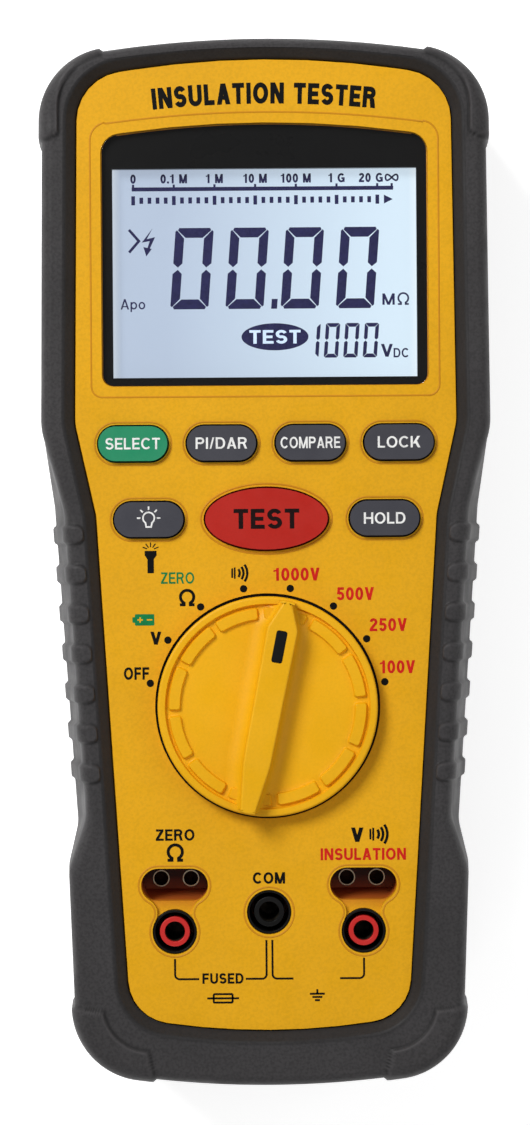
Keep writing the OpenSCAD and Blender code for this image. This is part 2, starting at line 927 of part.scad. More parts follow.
module selector_knob() {
    rim_w = 1.7;
    dish_d = 1;
    block_r = [17.4, 20];
    block_turn = 27;
    color("gold")
        about_knob(-pointer_turn)
            difference() {
                union() {
                    difference() {
                        translate([0, 0, knob_bottom_z])
                            cylinder(h = knob_disc_z - knob_bottom_z, r = knob_r, $fn = 96);
                        translate([0, 0, knob_disc_z - dish_d])
                            cylinder(h = dish_d + 1, r = knob_r - rim_w, $fn = 96);
                    }
                    // Raised blocks around the dished top
                    for (i = [0:11])
                        rotate(i * 30 - block_turn / 2)
                            translate([0, 0, knob_disc_z - dish_d - eps])
                                rotate_extrude(angle = block_turn, $fn = 96)
                                    translate([block_r[0], 0])
                                        square([block_r[1] - block_r[0], dish_d - 0.1]);
                    translate([0, 0, knob_disc_z - dish_d - eps])
                        linear_extrude(knob_top_z - knob_disc_z + dish_d + eps)
                            handle_shape(handle_w);
                    // Flared foot of the handle, in steps that follow a quarter hollow
                    for (k = [0:4])
                        let (h = 2.4 * (1 - sin(18 * k)), w = handle_flare * (1 - cos(18 * k)))
                        translate([0, 0, knob_disc_z - dish_d - eps])
                            linear_extrude(h + 0.3)
                                intersection() {
                                    handle_shape(handle_w + 2 * w + 0.4);
                                    circle(knob_r - rim_w);
                                }
                    translate([0, 0, rotor_z + rotor_t])
                        cylinder(h = knob_bottom_z - rotor_z - rotor_t + eps, r = shaft_r);
                }
                translate([0, 0, knob_top_z - 0.8])
                    linear_extrude(2)
                        insert_shape();
                translate([0, 0, rotor_z + rotor_t - 1])
                    cylinder(h = 8, r = 1.32);
            }
}

module pointer_insert() {
    color("black")
        about_knob(-pointer_turn)
            translate([0, 0, knob_top_z - 0.8])
                linear_extrude(0.75)
                    insert_shape();
}

module selector_rotor() {
    hub_z = face_under_z - 0.3;
    color("ivory")
        about_knob(-pointer_turn)
            difference() {
                union() {
                    translate([0, 0, rotor_z])
                        cylinder(h = rotor_t, r = rotor_r);
                    difference() {
                        translate([0, 0, rotor_z + rotor_t - eps])
                            cylinder(h = hub_z - rotor_z - rotor_t, r = 9);
                        translate([0, 0, rotor_z + rotor_t])
                            cylinder(h = 10, r = shaft_r + 0.05);
                    }
                }
                translate([0, 0, rotor_z - 1])
                    cylinder(h = 2.8, r = 3);
                translate([0, 0, rotor_z])
                    cylinder(h = 10, r = 1.35);
                for (side = [0, 180])
                    rotate(side)
                        rod_y(0, 11, rotor_r + 1, rotor_z + rotor_t / 2, 1.25);
            }
}

module selector_screw() {
    color("silver")
        translate([0, knob_y, 0])
            difference() {
                union() {
                    disc(0, 0, rotor_z + 0.2, rotor_z + 1.8, 2.7);
                    disc(0, 0, rotor_z + 1.7, rotor_z + rotor_t + 6.5, 1.3);
                }
                cross_recess(rotor_z + 0.2, 0.9, 3, 0.6);
            }
}

module wiper_contacts() {
    finger = 0.35;
    color("goldenrod")
        about_knob(-pointer_turn)
            for (i = [0:2])
                rotate(i * 120 + 60) {
                    block(-2.2, 2.2, 6, 14, rotor_z - finger, rotor_z);
                    for (x = [-1.6, 0.6])
                        block(x, x + 1, 12.6, 14, main_top + 0.15, rotor_z - finger + eps);
                }
}

module detent_balls() {
    color("silver")
        about_knob(-pointer_turn)
            for (side = [-1, 1])
                translate([0, side * ball_place, rotor_z + rotor_t / 2])
                    sphere(ball_r - 0.3);
}

module detent_springs() {
    color("silver")
        about_knob(-pointer_turn)
            for (side = [0, 180])
                rotate(side)
                    translate([0, 11.4, rotor_z + rotor_t / 2])
                        rotate([-90, 0, 0])
                            coil(0.8, 0.2, 1, 4.5);
}

// ---- Jacks ----

module jack_places() {
    for (side = [-1, 1])
        translate([side * jack_pitch, outer_y, 0])
            children();
    translate([0, common_y, 0])
        children();
}

module probe_places() {
    for (side = [-1, 1], k = [-1, 1])
        translate([side * jack_pitch + k * contact_pitch / 2, recess_y + 0.3, 0])
            children();
}

module terminal_block() {
    color("black")
        difference() {
            union() {
                block(-block_x, block_x, block_y[0], block_y[1], block_z, block_top_z);
                jack_places()
                    disc(0, 0, block_top_z - eps, tube_top_z, tube_r);
            }
            jack_places() {
                disc(0, 0, block_z + 2, face_z, tube_in_r);
                disc(0, 0, block_z - 1, face_z, sleeve_r + 0.02);
            }
            probe_places()
                disc(0, 0, block_z - 1, face_z, probe_contact_r + 0.02);
        }
}

module jack_sleeve() {
    difference() {
        disc(0, 0, block_z, sleeve_top_z, sleeve_r);
        disc(0, 0, block_z - 1, contact_top_z, contact_r + 0.01);
        disc(0, 0, contact_top_z - 1, face_z, jack_bore_r);
    }
}

module com_jack_sleeve() {
    color("black")
        translate([0, common_y, 0])
            jack_sleeve();
}

module ohm_jack_sleeve() {
    color("firebrick")
        translate([-jack_pitch, outer_y, 0])
            jack_sleeve();
}

module volt_jack_sleeve() {
    color("firebrick")
        translate([jack_pitch, outer_y, 0])
            jack_sleeve();
}

module jack_contacts() {
    color("goldenrod")
        jack_places() {
            difference() {
                disc(0, 0, contact_bottom_z - 1, contact_top_z - eps, contact_r);
                disc(0, 0, contact_bottom_z, face_z, jack_bore_r);
            }
            disc(0, 0, power_top + eps, contact_bottom_z, 0.8);
        }
}

module probe_contacts() {
    color("goldenrod")
        probe_places()
            difference() {
                disc(0, 0, power_top + eps, block_top_z + 0.3, probe_contact_r);
                disc(0, 0, power_top + 2, face_z, probe_contact_r - probe_contact_t);
            }
}

// ---- Boards and what they carry ----

module main_board() {
    color("darkgreen")
        difference() {
            prism(rounded([[-31, -54, 2], [31, -54, 2], [31, 8, 4], [39.3, 30, 4],
                           [39.3, 86, 6], [26, 96, 6], [-26, 96, 6], [-39.3, 86, 6],
                           [-39.3, 30, 4], [-31, 8, 4]]), main_z, main_top - eps);
            in_corners(boss_places)
                disc(0, 0, 0, border_z, boss_r + 0.5);
            in_corners(main_post_places)
                disc(0, 0, 0, border_z, board_screw_r + 0.1);
        }
}

module power_board() {
    color("darkgreen")
        difference() {
            prism(rounded([[-31, -85, 2], [31, -85, 2], [31, 61, 2], [-31, 61, 2]]),
                  power_z + eps, power_top);
            in_corners(power_post_places)
                disc(0, 0, 0, border_z, board_screw_r + 0.1);
        }
}

module board_screws() {
    color("silver") {
        in_corners(main_post_places)
            difference() {
                union() {
                    disc(0, 0, main_z - board_screw_head_h, main_z - eps, board_screw_head_r);
                    disc(0, 0, main_z - 0.1, inner_top_z - 1, board_screw_r);
                }
                cross_recess(main_z - board_screw_head_h, 0.8, 2.2, 0.5);
            }
        in_corners(power_post_places)
            difference() {
                union() {
                    disc(0, 0, power_top + eps, power_top + board_screw_head_h,
                         board_screw_head_r);
                    disc(0, 0, 15, power_top + 0.1, board_screw_r);
                }
                cross_recess(power_top + board_screw_head_h - 0.7, 1, 2.2, 0.5);
            }
    }
}

module board_connector() {
    pins = 10;
    pin_pitch = 2;
    color("black")
        block(-11, 11, 49, 53, power_top + eps, main_z - 2);
    color("gold")
        for (i = [0:pins - 1], row = [-1, 1])
            translate([(i - (pins - 1) / 2) * pin_pitch, 51 + row, main_z - 2 - eps])
                cube([0.6, 0.6, 2 * (2 - eps)], center = true);
}

module microcontroller() {
    half = 6;
    leg = 1;
    color("black")
        block(-half, half, 14 - half, 14 + half, main_z - 1.7, main_z - 0.1);
    color("silver")
        for (turn = [0:90:270], i = [-4:4])
            translate([0, 14, main_z - 0.45])
                rotate(turn)
                    translate([i * 1.2, half + leg / 2 - eps, 0])
                        cube([0.5, leg, 0.85], center = true);
}

module amplifier_chips() {
    color("black")
        for (p = [[12, 0], [12, -10], [22, -5], [-4, 20]])
            block(p.x - 2.5, p.x + 2.5, p.y - 2, p.y + 2, power_top + eps, power_top + 1.6);
}

module transformer_core() {
    color("dimgray")
        translate([-18, 40, power_top])
            difference() {
                translate([-9, -8, eps])
                    cube([18, 16, 8.2]);
                translate([-6, -9, 2])
                    cube([12, 18, 4.4]);
            }
}

module transformer_winding() {
    color("orangered")
        translate([-18, 40, power_top])
            difference() {
                translate([-5.9, -10, 2.1])
                    cube([11.8, 20, 4.2]);
                translate([-3, -11, 3.6])
                    cube([6, 2, 1.2]);
            }
}

module film_capacitors() {
    color("khaki")
        for (i = [0:2])
            block(1 + i * 8.5, 7.5 + i * 8.5, 28, 43, power_top + eps, power_top + 8);
}

module range_relays() {
    color("darkorange")
        for (i = [0:2])
            block(-27, -13, -2 + i * 9, 5.5 + i * 9, power_top + eps, power_top + 8);
}

module fuse() {
    color("lightgray")
        rod_y(-24, -52, -20, 28, 3.15);
}

module fuse_clips() {
    color("goldenrod")
        for (y = [-50, -28])
            difference() {
                block(-28, -20, y, y + 6, power_top + eps, 31);
                rod_y(-24, y - 1, y + 7, 28, 3.17);
                block(-26.4, -21.6, y - 1, y + 7, 28, 33);
            }
}

module input_resistors() {
    color("steelblue")
        for (i = [0:5]) {
            rod_x(14, 24, -52 + i * 5, power_top + 2.3, 1.6);
            rod_x(12, 26, -52 + i * 5, power_top + 2.3, 0.35);
            for (x = [12, 26])
                disc(x, -52 + i * 5, power_top + eps, power_top + 2.3, 0.35);
        }
}

module surge_discs() {
    color("royalblue")
        for (i = [0:1])
            rod_x(-8 + i * 9, -5 + i * 9, -50, power_top + 4.2, 4);
}

module buzzer() {
    color("black")
        difference() {
            disc(26, 62, main_z - 5, main_z - eps, 6);
            disc(26, 62, main_z - 6, main_z - 3.5, 1);
        }
}

module torch_led() {
    color("white") {
        rod_y(0, 93, 100.6, torch_z, 2.5);
        rod_y(0, 92.6, 93.5, torch_z, 2.9);
    }
    color("silver")
        for (x = [-1.27, 1.27]) {
            block(x - 0.25, x + 0.25, 91, 92.7, torch_z - 0.25, torch_z + 0.25);
            block(x - 0.25, x + 0.25, 91, 91.5, torch_z - 0.25, main_z - eps);
        }
}

module torch_lens() {
    color("lightcyan", 0.5)
        rod_y(0, 100.8, 104.8, torch_z, torch_lens_r);
}

// ---- Batteries ----

module cell_places() {
    for (i = [0:cell_count - 1])
        translate([(i - (cell_count - 1) / 2) * cell_pitch, (bay_y[0] + bay_y[1]) / 2, cell_z])
            rotate(180 * (i % 2))
                children();
}

module battery_cells() {
    color("dimgray")
        cell_places() {
            rod_y(0, -cell_l / 2 - 0.3, cell_l / 2 - 0.3, 0, cell_r);
            rod_y(0, cell_l / 2 - 0.4, cell_l / 2 + 1.1, 0, 2.7);
        }
}

module battery_springs() {
    color("silver")
        cell_places()
            translate([0, -(bay_y[1] - bay_y[0]) / 2 + 0.9, 0])
                rotate([-90, 0, 0])
                    coil(3.4, 0.35, 0.95, 3.2);
}

module battery_plates() {
    end_in = (bay_y[1] - bay_y[0]) / 2;
    color("silver") {
        cell_places()
            for (side = [-1, 1])
                block(-6.5, 6.5, side * (end_in - 0.35) - 0.2, side * (end_in - 0.35) + 0.2,
                      -6, 6);
        for (side = [-1, 1])
            block(side * 22 - 2, side * 22 + 2, bay_y[0] + 0.15, bay_y[0] + 0.55,
                  cell_z + 5.9, power_z - eps);
    }
}

holster();
front_case();
rear_case();
battery_cover();
battery_cover_screws();
case_screws();
tilt_stand();
display_lens();
display_bezel();
lcd_panel();
lcd_holder();
backlight_plate();
zebra_strips();
select_button();
index_button();
compare_button();
lock_button();
light_button();
test_button();
hold_button();
keypad_mat();
selector_knob();
pointer_insert();
selector_rotor();
selector_screw();
wiper_contacts();
detent_balls();
detent_springs();
terminal_block();
com_jack_sleeve();
ohm_jack_sleeve();
volt_jack_sleeve();
jack_contacts();
probe_contacts();
main_board();
power_board();
board_connector();
board_screws();
microcontroller();
amplifier_chips();
transformer_core();
transformer_winding();
film_capacitors();
range_relays();
fuse();
fuse_clips();
input_resistors();
surge_discs();
buzzer();
torch_led();
torch_lens();
battery_cells();
battery_springs();
battery_plates();
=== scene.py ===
import itertools
import json
import math

import bmesh
import bpy
import numpy as np
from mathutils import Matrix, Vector
from mathutils.geometry import tessellate_polygon


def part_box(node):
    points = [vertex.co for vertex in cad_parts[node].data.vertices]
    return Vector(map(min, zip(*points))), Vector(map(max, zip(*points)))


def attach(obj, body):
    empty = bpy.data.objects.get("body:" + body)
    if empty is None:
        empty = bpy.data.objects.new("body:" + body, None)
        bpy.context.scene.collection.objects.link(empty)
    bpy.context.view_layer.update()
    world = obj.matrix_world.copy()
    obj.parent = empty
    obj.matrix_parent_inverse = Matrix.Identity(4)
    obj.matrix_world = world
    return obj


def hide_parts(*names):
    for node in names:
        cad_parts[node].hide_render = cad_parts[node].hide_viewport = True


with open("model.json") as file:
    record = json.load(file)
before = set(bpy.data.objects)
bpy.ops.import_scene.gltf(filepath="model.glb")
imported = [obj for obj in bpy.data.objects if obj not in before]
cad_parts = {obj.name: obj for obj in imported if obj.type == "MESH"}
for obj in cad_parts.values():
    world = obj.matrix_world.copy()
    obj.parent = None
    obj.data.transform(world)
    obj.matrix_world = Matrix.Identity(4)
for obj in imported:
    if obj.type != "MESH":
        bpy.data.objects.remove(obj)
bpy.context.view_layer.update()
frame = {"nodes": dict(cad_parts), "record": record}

# Handheld insulation tester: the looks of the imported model. Shapes are written in millimetres
# in the shared frame and scaled once, when a piece is built. The holster, the knob and the
# bezel are new meshes, for their soft edges. Printing and fine moulded lines are new pieces.

MM = 0.001


def low(node):
    """Lowest corner of a CAD node, in millimetres."""
    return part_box(node)[0] / MM


def high(node):
    """Highest corner of a CAD node, in millimetres."""
    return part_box(node)[1] / MM


def middle(node):
    return (low(node) + high(node)) / 2


FACE_Z = high("front_case").z
# Floor of the probe recesses, and the back edge of the probe tubes that stand 0.3 mm above it
FLOOR_Z = high("probe_contacts").z - 0.3
PROBE_Y = high("probe_contacts").y
KNOB = middle("selector_knob")
KNOB_R = high("selector_knob").x - KNOB.x
COM = middle("com_jack_sleeve")
OHM = middle("ohm_jack_sleeve")
VOLT = middle("volt_jack_sleeve")
# Middle of what the display shows, on top of the glass
WINDOW = Vector((0, 58.9, high("lcd_panel").z))
# Opening in the black border over the display: width, height and middle
OPENING_W, OPENING_H, OPENING_Y = 61.5, 42.25, 58.38
# Thickness of print above the surface, and how far it reaches below
PRINT_T = 0.03
LEGEND_SINK = 0.01


# ---- Materials ----

def rgb(red, green, blue):
    """A linear colour from 8-bit display values."""
    def linear(c):
        c /= 255
        return c / 12.92 if c <= 0.04045 else ((c + 0.055) / 1.055) ** 2.4
    return (linear(red), linear(green), linear(blue), 1)


class Look:
    """Builds one procedural material: a Principled shader and the noise that varies it."""

    def __init__(self, name, colour, roughness, metallic=0.0):
        self.material = bpy.data.materials.new(name)
        self.material.use_nodes = True
        self.tree = self.material.node_tree
        self.shader = self.tree.nodes["Principled BSDF"]
        self.colour = colour
        self.set(base_color=colour, roughness=roughness, metallic=metallic)
        self.place = self.node("ShaderNodeTexCoord").outputs["Object"]
        self.height = None

    def node(self, kind, **values):
        """A new node of the material, with those properties."""
        made = self.tree.nodes.new(kind)
        for key, value in values.items():
            setattr(made, key, value)
        return made

    def link(self, source, target):
        self.tree.links.new(source, target)

    def set(self, **sockets):
        """Sets the shader's sockets, named in lower case with underscores."""
        for key, value in sockets.items():
            name = key.replace("_", " ").title().replace("Ior", "IOR")
            self.shader.inputs[name].default_value = value
        return self

    def axes(self):
        """Where a point lies, as separate X, Y and Z."""
        split = self.node("ShaderNodeSeparateXYZ")
        self.link(self.place, split.inputs[0])
        return split.outputs

    def noise(self, scale, detail=3.0):
        """Noise of that many lumps per metre."""
        texture = self.node("ShaderNodeTexNoise")
        texture.inputs["Scale"].default_value = scale
        texture.inputs["Detail"].default_value = detail
        self.link(self.place, texture.inputs["Vector"])
        return texture.outputs["Fac"]

    def spread(self, source, lowest, highest, start=0.35, end=0.65):
        """Maps what lies between start and end to a range of values."""
        ramp = self.node("ShaderNodeMapRange")
        ramp.inputs["From Min"].default_value = start
        ramp.inputs["From Max"].default_value = end
        ramp.inputs["To Min"].default_value = lowest
        ramp.inputs["To Max"].default_value = highest
        self.link(source, ramp.inputs["Value"])
        return ramp.outputs["Result"]

    def blend(self, factor, first, second):
        """A colour between two others."""
        mix = self.node("ShaderNodeMix", data_type="RGBA")
        self.link(factor, mix.inputs["Factor"])
        for value, slot in ((first, 6), (second, 7)):
            if isinstance(value, tuple):
                mix.inputs[slot].default_value = value
            else:
                self.link(value, mix.inputs[slot])
        return mix.outputs[2]

    def recolour(self, colour):
        self.base = colour
        self.link(colour, self.shader.inputs["Base Color"])
        return self

    def mottle(self, scale, amount):
        """Slow variation of the colour, darker and lighter by that share."""
        factor = self.spread(self.noise(scale, 4), 0, 1)
        dark = tuple(c * (1 - amount) for c in self.colour[:3]) + (1,)
        light = tuple(min(1, c * (1 + amount)) for c in self.colour[:3]) + (1,)
        return self.recolour(self.blend(factor, dark, light))

    def speckle(self, scale, amount):
        """Fine darker grains, as of a textured tool."""
        grains = self.spread(self.noise(scale, 2), 0, amount, 0.4, 0.66)
        dark = tuple(c * 0.3 for c in self.colour[:3]) + (1,)
        return self.recolour(self.blend(grains, self.base, dark))

    def shade(self, attribute, colour):
        """Another colour, by how much a point attribute of the mesh asks for it."""
        share = self.node("ShaderNodeAttribute", attribute_name=attribute).outputs["Fac"]
        return self.recolour(self.blend(share, self.base, colour))

    def sheen_spots(self, scale, lowest, highest):
        """Patches that are a little glossier or duller."""
        self.link(self.spread(self.noise(scale, 5), lowest, highest),
                  self.shader.inputs["Roughness"])
        return self

    def grain(self, scale, depth, strength):
        """Bumps of that many per metre and that depth in millimetres, on top of earlier ones."""
        bump = self.node("ShaderNodeBump")
        bump.inputs["Strength"].default_value = strength
        bump.inputs["Distance"].default_value = depth * MM
        self.link(self.noise(scale, 2), bump.inputs["Height"])
        if self.height:
            self.link(self.height, bump.inputs["Normal"])
        self.height = bump.outputs["Normal"]
        self.link(self.height, self.shader.inputs["Normal"])
        return self


def rubber(name, colour):
    """Dull rubber, with a painted highlight beside the edges of its pads and ribs, and painted
    shade along their steps and on the lip round the face.
    """
    look = Look(name, colour, 0.62)
    look.set(specular_ior_level=0.25, sheen_weight=0.06, sheen_roughness=0.5)
    look.mottle(60, 0.10)
    look.speckle(1700, 0.4)
    # Painted highlight beside the edges of the pads and ribs
    look.shade("painted_highlight", tuple(min(1, c * 1.9) for c in colour[:3]) + (1,))
    # Painted shade along their steps and over the lip round the face
    look.shade("painted_shade", tuple(c * 0.22 for c in colour[:3]) + (1,))
    look.sheen_spots(140, 0.52, 0.72)
    return look.grain(2600, 0.05, 0.5).grain(300, 0.05, 0.15).material


def moulded(name, colour, roughness=0.42, grain=0.035, coat=0.0, mottle=0.03, gloss=0.5,
            speckle=0.06):
    """Textured moulded plastic."""
    look = Look(name, colour, roughness)
    look.set(coat_weight=coat, coat_roughness=0.15, specular_ior_level=gloss)
    look.mottle(45, mottle)
    look.speckle(1900, speckle)
    look.sheen_spots(180, roughness * 0.85, roughness * 1.2)
    return look.grain(3200, grain, 0.45).grain(220, 0.04, 0.1).material


def recessed(name, colour):
    """The front moulding, with painted shade that turns its walls brown and then darker down in its
    recesses.
    """
    look = Look(name, colour, 0.5)
    look.set(specular_ior_level=0.22)
    look.mottle(45, 0.03)
    look.speckle(1900, 0.12)
    look.sheen_spots(180, 0.43, 0.6)
    # Painted shade: the deeper below the face, the browner and then darker
    z = look.axes()["Z"]
    brown_shade = look.spread(z, 1, 0, (FACE_Z - 4.5) * MM, (FACE_Z - 0.8) * MM)
    dark = look.spread(z, 1, 0, (FACE_Z - 12.5) * MM, (FACE_Z - 3.5) * MM)
    look.recolour(look.blend(brown_shade, look.base, rgb(176, 92, 30)))
    look.recolour(look.blend(dark, look.base, rgb(156, 74, 42)))
    return look.grain(3200, 0.03, 0.45).grain(220, 0.04, 0.1).material


def recess_floor(name, colour):
    """Black moulding, with a painted reflection of the yellow walls on the floor of a recess,
    growing brighter towards the jack end.
    """
    look = Look(name, colour, 0.32)
    look.set(specular_ior_level=0.25)
    look.mottle(45, 0.1)
    look.speckle(1900, 0.06)
    look.sheen_spots(180, 0.27, 0.38)
    # Painted reflection of the yellow walls on the recess floor only, darker towards the far wall
    # as painted shade
    axes = look.axes()
    level = look.spread(axes["Z"], 1, 0, (FLOOR_Z + 0.02) * MM, (FLOOR_Z + 0.1) * MM)
    near = look.spread(axes["Y"], 1, 0, (PROBE_Y - 5.2) * MM, (PROBE_Y - 1.2) * MM)
    painted_reflection = look.blend(near, rgb(78, 43, 33), rgb(214, 110, 60))
    look.recolour(look.blend(level, look.base, painted_reflection))
    return look.grain(3200, 0.02, 0.45).grain(220, 0.04, 0.1).material


def tube_metal(name, colour):
    """Sprung tubes, bright at the rim, with painted shade that darkens them down inside."""
    look = Look(name, colour, 0.3, 1.0)
    look.mottle(260, 0.12)
    look.sheen_spots(900, 0.21, 0.45)
    # Painted shade below the rim, down inside the tubes
    down = look.spread(look.axes()["Z"], 1, 0, (FLOOR_Z - 0.8) * MM, (FLOOR_Z + 0.1) * MM)
    look.recolour(look.blend(down, look.base, rgb(46, 28, 22)))
    return look.grain(2400, 0.02, 0.4).material


def metal(name, colour, roughness):
    """Slightly uneven bare metal."""
    look = Look(name, colour, roughness, 1.0)
    look.mottle(260, 0.12)
    look.sheen_spots(900, roughness * 0.7, roughness * 1.5)
    return look.grain(2400, 0.02, 0.4).material


def ink(name, colour, roughness):
    """Dense, even print on the back of a window."""
    look = Look(name, colour, roughness)
    look.set(specular_ior_level=0.15)
    look.mottle(60, 0.06)
    look.sheen_spots(90, roughness * 0.9, roughness * 1.1)
    return look.grain(4000, 0.002, 0.2).material


def printed(name, colour, roughness=0.5):
    """Ink, with the faint unevenness of pad printing."""
    look = Look(name, colour, roughness)
    look.set(specular_ior_level=0.12)
    look.mottle(900, 0.12)
    look.sheen_spots(1500, roughness * 0.8, roughness * 1.25)
    return look.grain(5000, 0.01, 0.4).material


def clear_lens(name):
    """A clear window: mostly see-through, with gloss that grows at glancing angles."""
    look = Look(name, (0.9, 0.93, 0.95, 1), 0.04)
    gloss = look.node("ShaderNodeBsdfGlossy")
    gloss.inputs["Color"].default_value = (0.9, 0.93, 0.96, 1)
    look.link(look.spread(look.noise(70, 3), 0.03, 0.09), gloss.inputs["Roughness"])
    open_air = look.node("ShaderNodeBsdfTransparent")
    open_air.inputs["Color"].default_value = (0.97, 0.98, 0.98, 1)
    slant = look.node("ShaderNodeLayerWeight")
    slant.inputs["Blend"].default_value = 0.5
    steep = look.node("ShaderNodeMath", operation="POWER")
    look.link(slant.outputs["Facing"], steep.inputs[0])
    steep.inputs[1].default_value = 5
    mix = look.node("ShaderNodeMixShader")
    look.link(look.spread(steep.outputs[0], 0.03, 1, 0, 1), mix.inputs[0])
    look.link(open_air.outputs[0], mix.inputs[1])
    look.link(gloss.outputs[0], mix.inputs[2])
    look.link(mix.outputs[0], look.tree.nodes["Material Output"].inputs["Surface"])
    return look.material


def backlit(name):
    """Display glass lit from behind, brighter to the right and along its left and right edges."""
    left, right = rgb(174, 186, 206), rgb(214, 231, 244)
    look = Look(name, left, 0.35)
    look.set(specular_ior_level=0.2)
    x = look.axes()["X"]
    across = look.spread(x, 0, 1, -20 * MM, 34 * MM)
    cloud = look.spread(look.noise(30, 2), 0.0, 1.0, 0.2, 0.8)
    mixed = look.blend(cloud, left, tuple(c * 1.05 for c in left[:3]) + (1,))
    colour = look.blend(across, mixed, right)
    side = look.node("ShaderNodeMath", operation="ABSOLUTE")
    look.link(x, side.inputs[0])
    rim = look.spread(side.outputs[0], 0, 0.5, 29.2 * MM, 30.8 * MM)
    colour = look.blend(rim, colour, rgb(236, 244, 250))
    unlit = look.node("ShaderNodeHueSaturation")
    unlit.inputs["Value"].default_value = 0.35
    look.link(colour, unlit.inputs["Color"])
    look.recolour(unlit.outputs["Color"])
    look.link(colour, look.shader.inputs["Emission Color"])
    look.set(emission_strength=0.93)
    look.sheen_spots(200, 0.3, 0.42)
    return look.grain(3000, 0.005, 0.3).material


def glowing(name, colour, strength):
    """Unprinted marks of the display, lit from behind."""
    look = Look(name, colour, 0.35)
    look.mottle(300, 0.05)
    look.link(look.base, look.shader.inputs["Emission Color"])
    look.set(emission_strength=strength)
    return look.grain(3000, 0.003, 0.3).material


YELLOW = rgb(233, 171, 18)
BLACK = rgb(16, 16, 16)
LOOKS = {
    "holster_rubber": rubber("holster_rubber", rgb(60, 58, 59)),
    "yellow_case": moulded("yellow_case", YELLOW, 0.5, 0.03, gloss=0.22),
    "front_yellow": recessed("front_yellow", YELLOW),
    # Darker than the face: painted shade on the fine moulded ridges
    "ridge_painted_shade": moulded("ridge_painted_shade", rgb(206, 140, 22), 0.5, 0.02, gloss=0.2),
    "knob_yellow": moulded("knob_yellow", rgb(241, 178, 12), 0.46, 0.02, gloss=0.25),
    "button_grey": moulded("button_grey", rgb(68, 68, 75), 0.42, 0.02, gloss=0.3),
    "button_green": moulded("button_green", rgb(24, 142, 98), 0.4, 0.02),
    "button_red": moulded("button_red", rgb(186, 36, 26), 0.42, 0.02, gloss=0.25),
    "black_plastic": moulded("black_plastic", BLACK, 0.32, 0.02, 0.0, 0.1, 0.25),
    "white_plastic": moulded("white_plastic", rgb(226, 225, 220), 0.5, 0.02),
    "jack_red": moulded("jack_red", rgb(205, 38, 34), 0.34, 0.015, 0.1),
    "lens_clear": clear_lens("lens_clear"),
    "lcd_glass": backlit("lcd_glass"),
    "zebra_rubber": rubber("zebra_rubber", rgb(190, 150, 150)),
    "keypad_rubber": rubber("keypad_rubber", rgb(222, 222, 218)),
    "zinc_steel": metal("zinc_steel", rgb(196, 196, 192), 0.34),
    "spring_steel": metal("spring_steel", rgb(208, 208, 205), 0.26),
    "contact_brass": metal("contact_brass", rgb(226, 200, 140), 0.3),
    "board_green": moulded("board_green", rgb(28, 96, 52), 0.35, 0.01, 0.2, 0.15),
    "chip_black": moulded("chip_black", rgb(32, 32, 34), 0.6, 0.02, 0.0, 0.1),
    "ferrite_grey": moulded("ferrite_grey", rgb(74, 74, 78), 0.7, 0.04, 0.0, 0.12),
    "winding_tape": moulded("winding_tape", rgb(222, 160, 60), 0.3, 0.02, 0.3, 0.1),
    "capacitor_yellow": moulded("capacitor_yellow", rgb(214, 180, 80), 0.35, 0.02, 0.1),
    "relay_orange": moulded("relay_orange", rgb(214, 134, 52), 0.35, 0.02, 0.1),
    "fuse_ceramic": moulded("fuse_ceramic", rgb(218, 214, 206), 0.4, 0.02, 0.2),
    "resistor_blue": moulded("resistor_blue", rgb(88, 146, 190), 0.35, 0.02, 0.2),
    "disc_blue": moulded("disc_blue", rgb(60, 98, 188), 0.35, 0.03, 0.3),
    "cell_jacket": moulded("cell_jacket", rgb(66, 66, 70), 0.3, 0.01, 0.3, 0.2),
    "ink_black": printed("ink_black", rgb(10, 10, 10)),
    "ink_red": printed("ink_red", rgb(204, 34, 26)),
    "ink_green": printed("ink_green", rgb(20, 124, 70)),
    "ink_white": printed("ink_white", rgb(238, 238, 236)),
    "ink_dark_red": printed("ink_dark_red", rgb(26, 10, 10)),
    "mask_black": ink("mask_black", rgb(16, 15, 15), 0.3),
    # A darker, duller metal for the contacts deep in the jacks
    "dark_contact_metal": metal("dark_contact_metal", rgb(92, 84, 72), 0.5),
    "probe_tubes": tube_metal("probe_tubes", rgb(240, 222, 194)),
    "block_black": recess_floor("block_black", BLACK),
    "display_blue": printed("display_blue", rgb(46, 44, 88), 0.3),
    "display_pale": glowing("display_pale", rgb(186, 202, 224), 0.7),
}


# ---- Mesh building ----

